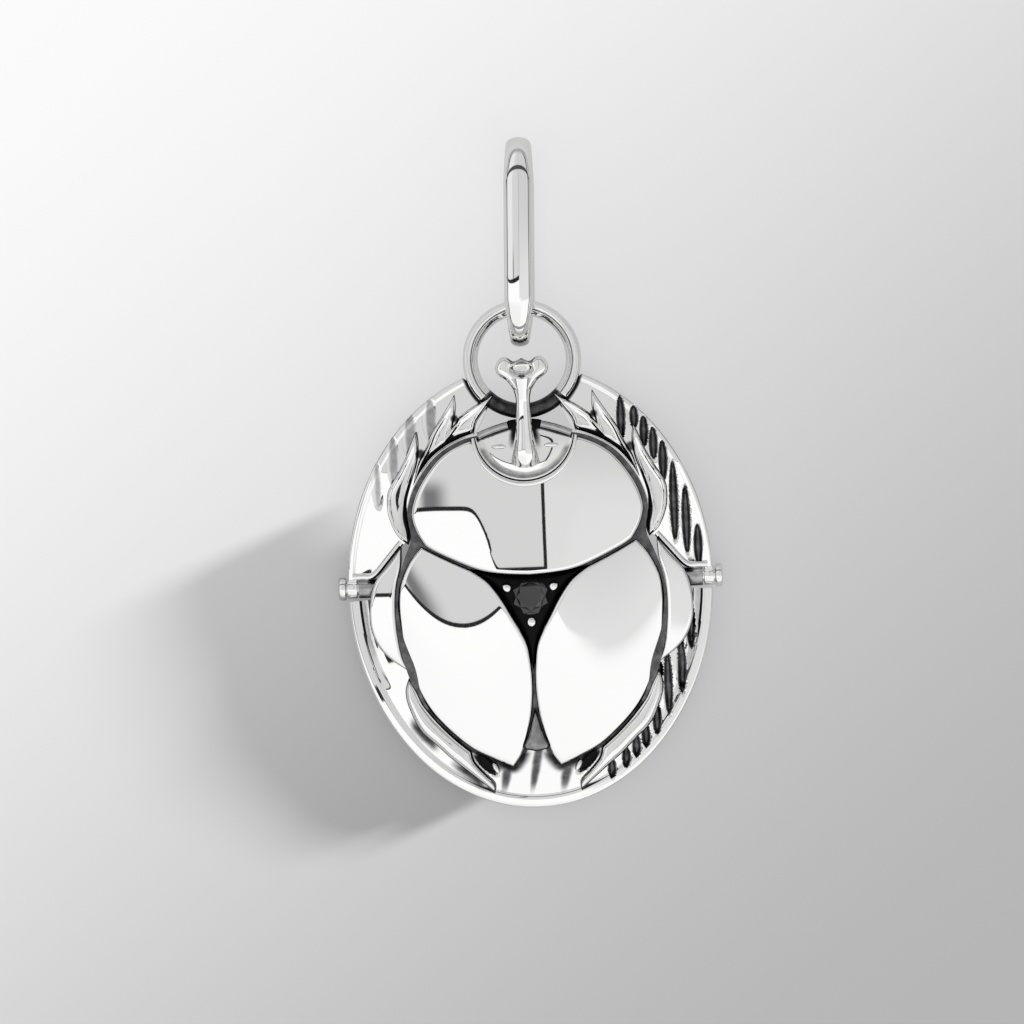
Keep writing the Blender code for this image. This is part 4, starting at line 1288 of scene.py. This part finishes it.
def tarnish_and_shade_group():
    """Mixes silver and black by the stored value of tarnish and painted shade, which a noise makes a little
    ragged.
    """
    group = bpy.data.node_groups.new("tarnish", "ShaderNodeTree")
    for name, way, kind in SOCKETS:
        group.interface.new_socket(name, in_out=way, socket_type="NodeSocket" + kind)
    graph = Graph(group)
    given = graph.nodes.new("NodeGroupInput").outputs
    out = graph.nodes.new("NodeGroupOutput").inputs
    oxide_and_shade = graph.nodes.new("ShaderNodeAttribute")
    oxide_and_shade.attribute_name = "tarnish"
    ragged = graph.math("MULTIPLY_ADD", graph.noise(given["Grain"], 6.0), 0.24, -0.12)
    mask = graph.step(graph.math("ADD", oxide_and_shade.outputs["Fac"], ragged), 0.22, 0.95)
    graph.put(out["Colour"], graph.mix(mask, given["Silver"], given["Black"], "RGBA"))
    graph.put(out["Roughness"], graph.spread(mask, to_low=0.02, to_high=0.38))
    return group


TARNISH_AND_SHADE = tarnish_and_shade_group()
print("tarnish group:", len(TARNISH_AND_SHADE.nodes), "nodes")


# %% [markdown]
# Silver
#
# The metal takes its colour and roughness from the group: nearly white and smooth where it is polished,
# black and dull where it is tarnished and where shade is painted. The grain is fine, since it only frays the
# edge of the black.

# %% The silver's material
def silver(name):
    material, graph, shader = new_material(name)
    shader.inputs["Metallic"].default_value = 1.0
    effect = graph.nodes.new("ShaderNodeGroup")
    effect.node_tree = TARNISH_AND_SHADE
    effect.inputs["Silver"].default_value = (0.93, 0.93, 0.925, 1)
    effect.inputs["Black"].default_value = (0.012, 0.012, 0.013, 1)
    effect.inputs["Grain"].default_value = 1300.0
    graph.put(shader.inputs["Base Color"], effect.outputs["Colour"])
    graph.put(shader.inputs["Roughness"], effect.outputs["Roughness"])
    return material


SILVER = silver("polished_silver")
silver_pieces = [piece for piece in bpy.data.objects if piece.get("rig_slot") == "silver"]
for piece in silver_pieces:
    piece.data.materials.clear()
    piece.data.materials.append(SILVER)
print("silver pieces:", [piece.name for piece in silver_pieces])


# %% [markdown]
# The black stone
#
# The stone is a polished black body. A faint cloud in its colour keeps the facets from being one flat
# black.

# %% The stone's material
def black_gem():
    material, graph, shader = new_material("black_gem")
    shader.inputs["Roughness"].default_value = 0.04
    shader.inputs["IOR"].default_value = 1.7
    ramp = graph.nodes.new("ShaderNodeValToRGB")
    ramp.color_ramp.elements[0].color = (0.006, 0.006, 0.007, 1)
    ramp.color_ramp.elements[1].color = (0.02, 0.02, 0.022, 1)
    graph.put(ramp.inputs["Fac"], graph.noise(900.0))
    graph.put(shader.inputs["Base Color"], ramp.outputs["Color"])
    return material


stone.data.materials.clear()
stone.data.materials.append(black_gem())
print("stone's material:", stone.data.materials[0].name)


# %% [markdown]
# The studio
#
# A mirror shows the room, so the room is made for the metal. The pendant lies on a pale table, which glows
# a little and is brighter at the upper left than at the lower right. The silver sees the table darker than
# the camera does, so that every edge of the metal stands out from it.


# %% Floor and world
FLOOR_GREY, FLOOR_ROUGH = 0.3, 0.6
FLOOR_BRIGHT, FLOOR_DIM = 0.5, 0.0
FLOOR_REACH = 0.075
SEEN_BY_SILVER = 0.4


def lit_floor():
    """A material that glows from FLOOR_BRIGHT to FLOOR_DIM across the picture, and less for mirror rays."""
    material, graph, shader = new_material("pale_floor")
    place = graph.nodes.new("ShaderNodeTexCoord")
    along = graph.nodes.new("ShaderNodeVectorMath")
    along.operation = "DOT_PRODUCT"
    along.inputs[1].default_value = (0.62 / FLOOR_REACH, -0.78 / FLOOR_REACH, 0)
    graph.put(along.inputs[0], place.outputs["Object"])
    glow = graph.step(along.outputs["Value"], -1.05, 0.8, FLOOR_BRIGHT, FLOOR_DIM)
    seen_by = graph.nodes.new("ShaderNodeLightPath")
    share = graph.spread(seen_by.outputs["Is Glossy Ray"], to_low=1.0, to_high=SEEN_BY_SILVER)
    shader.inputs["Base Color"].default_value = (FLOOR_GREY, FLOOR_GREY, FLOOR_GREY, 1)
    shader.inputs["Roughness"].default_value = FLOOR_ROUGH
    shader.inputs["Specular IOR Level"].default_value = 0.0
    shader.inputs["Emission Color"].default_value = (1, 1, 1, 1)
    graph.put(shader.inputs["Emission Strength"], graph.math("MULTIPLY", glow, share))
    return material


floor = start(bpy.ops.mesh.primitive_plane_add, size=3.0, location=(0, 0, -0.00002))
floor.name = "floor"
freeze(floor)
floor.data.materials.append(lit_floor())
print("floor:", [round(side, 2) for side in floor.dimensions], "m")

# %% [markdown]
# The light tent
#
# The silver shows the tent over it. A direction in the tent is named by where it would meet a flat roof
# one unit up, so (0, 0) is straight overhead. Overhead hangs a grey panel in a thin black frame. Towards
# the tail the tent is white, with a hard edge on the left and a soft one on the right. Low down a few dark
# bars draw the thin lines that run round every edge of the metal.


# %% Tent
def band(graph, value, low, high, soft):
    """1 between low and high, with soft sides."""
    return graph.math("MULTIPLY", graph.step(value, low - soft, low), graph.step(value, high + soft, high))


FRAME_X, FRAME_Y, FRAME_HALF = 0.052, -0.107, 0.0065
BLACK = 0.02
LOW_BARS = [("y", 1.1, 1.5, 0.08), ("x", 2.4, 3.6, 0.1), ("x", -4.2, -2.6, 0.06), ("y", -4.5, -3.0, 0.3)]


def hang_tent():
    """The brightness of the world, built up from the left part, the right part and what hangs between."""
    world = bpy.data.worlds.new("light_tent")
    bpy.context.scene.world = world
    world.use_nodes = True
    tent = Graph(world.node_tree)
    direction = tent.nodes.new("ShaderNodeTexCoord").outputs["Generated"]
    parts = tent.nodes.new("ShaderNodeSeparateXYZ")
    tent.links.new(direction, parts.inputs[0])
    rise = tent.math("MAXIMUM", parts.outputs["Z"], 0.02)
    x = tent.math("DIVIDE", parts.outputs["X"], rise)
    y = tent.math("DIVIDE", parts.outputs["Y"], rise)

    slanted = tent.math("ADD", y, tent.math("MULTIPLY", x, 0.08))
    right = tent.mix(tent.step(y, 0.2, -0.2), 0.66, 0.8)
    right = tent.mix(tent.step(slanted, -0.225, -0.305), right, 1.04)
    dusk = tent.math("MULTIPLY", tent.step(x, -0.38, -0.5), tent.step(y, 0.05, -0.07))
    roof = tent.mix(dusk, 0.7, 0.2)
    roof = tent.mix(tent.step(x, -0.53, -0.6), roof, 0.85)
    white = tent.mix(tent.step(y, -0.2, -0.7), 1.06, 0.95)
    left = tent.mix(tent.step(y, FRAME_Y - FRAME_HALF, FRAME_Y - FRAME_HALF - 0.003), BLACK, white)
    left = tent.mix(tent.step(y, FRAME_Y + FRAME_HALF, FRAME_Y + FRAME_HALF + 0.003), left, roof)
    seam = band(tent, x, FRAME_X - FRAME_HALF, FRAME_X + FRAME_HALF, 0.003)
    seam = tent.math("MULTIPLY", seam, tent.step(y, FRAME_Y - 0.004, FRAME_Y))
    above = tent.step(y, -0.25, -0.2)
    hard = tent.step(x, FRAME_X - 0.01, FRAME_X + 0.01)
    soft = tent.step(x, FRAME_X - 0.05, FRAME_X + 0.3)
    light = tent.mix(tent.mix(above, soft, hard), left, right)
    light = tent.mix(seam, light, BLACK)
    for axis, low, high, dark in LOW_BARS:
        light = tent.mix(band(tent, {"x": x, "y": y}[axis], low, high, 0.1), light, dark)
    light = tent.mix(tent.step(parts.outputs["Z"], 0.22, 0.05), light, 0.4)
    background = tent.nodes["Background"]
    tent.links.new(light, background.inputs["Strength"])
    background.inputs["Color"].default_value = (1, 1, 1, 1)
    print("tent:", len(tent.nodes), "nodes,", len(LOW_BARS), "low bars")


bpy.context.scene.view_settings.view_transform = "Standard"
hang_tent()

# %% [markdown]
# The shadow
#
# One low lamp on the right throws the long soft shadow to the lower left. It is wide, which blurs the
# shadow's edge. The photograph shows one rounded shadow, so only the shield and the wing cases throw it,
# and the silver doesn't show the lamp.

# %% Lamp
lamp_data = bpy.data.lights.new("low_right", "SUN")
lamp_data.energy = 14.5
lamp_data.angle = math.radians(5)
lamp = bpy.data.objects.new("low_right", lamp_data)
lamp.rotation_euler = Vector((-5.2, -2.2, -1.0)).to_track_quat("-Z", "Y").to_euler()
lamp.visible_glossy = False
bpy.context.scene.collection.objects.link(lamp)
throws_shadow = bpy.data.collections.new("throws_shadow")
throws_shadow.objects.link(mirrors)
lamp.light_linking.blocker_collection = throws_shadow

# %% [markdown]
# The camera
#
# The photograph looks straight at the pendant through a long lens, from a trifle to the right, and the
# pendant lies a little askew in it. PINS_AT is where the middle of the pins' axis shows in the photograph,
# in pixels.

# %% Camera
PIXELS_PER_MM = 10.5
IMAGE = 1024
PINS_AT = (530.25, 582.25)
ROLL = math.radians(2.2)
FROM_THE_RIGHT = math.radians(1.6)
DISTANCE = 700.0
SENSOR = 36.0

right = Vector((math.cos(ROLL), -math.sin(ROLL), 0))
up = Vector((math.sin(ROLL), math.cos(ROLL), 0))
aim = right * ((IMAGE / 2 - PINS_AT[0]) / PIXELS_PER_MM) + up * ((PINS_AT[1] - IMAGE / 2) / PIXELS_PER_MM)
aim.z = PLATE_TOP + 1
camera_data = bpy.data.cameras.new("camera")
camera_data.sensor_width = SENSOR
camera_data.lens = SENSOR * DISTANCE / (IMAGE / PIXELS_PER_MM)
camera_data.clip_start = 0.01
camera = bpy.data.objects.new("camera", camera_data)
back = (Vector((0, 0, 1)) + right * math.tan(FROM_THE_RIGHT)).normalized()
side = up.cross(back).normalized()
camera.matrix_world = Matrix((side, back.cross(side), back)).transposed().to_4x4()
camera.location = (aim + back * DISTANCE) * MM
bpy.context.scene.collection.objects.link(camera)
bpy.context.scene.camera = camera
print("lens:", round(camera_data.lens), "mm at", DISTANCE, "mm")
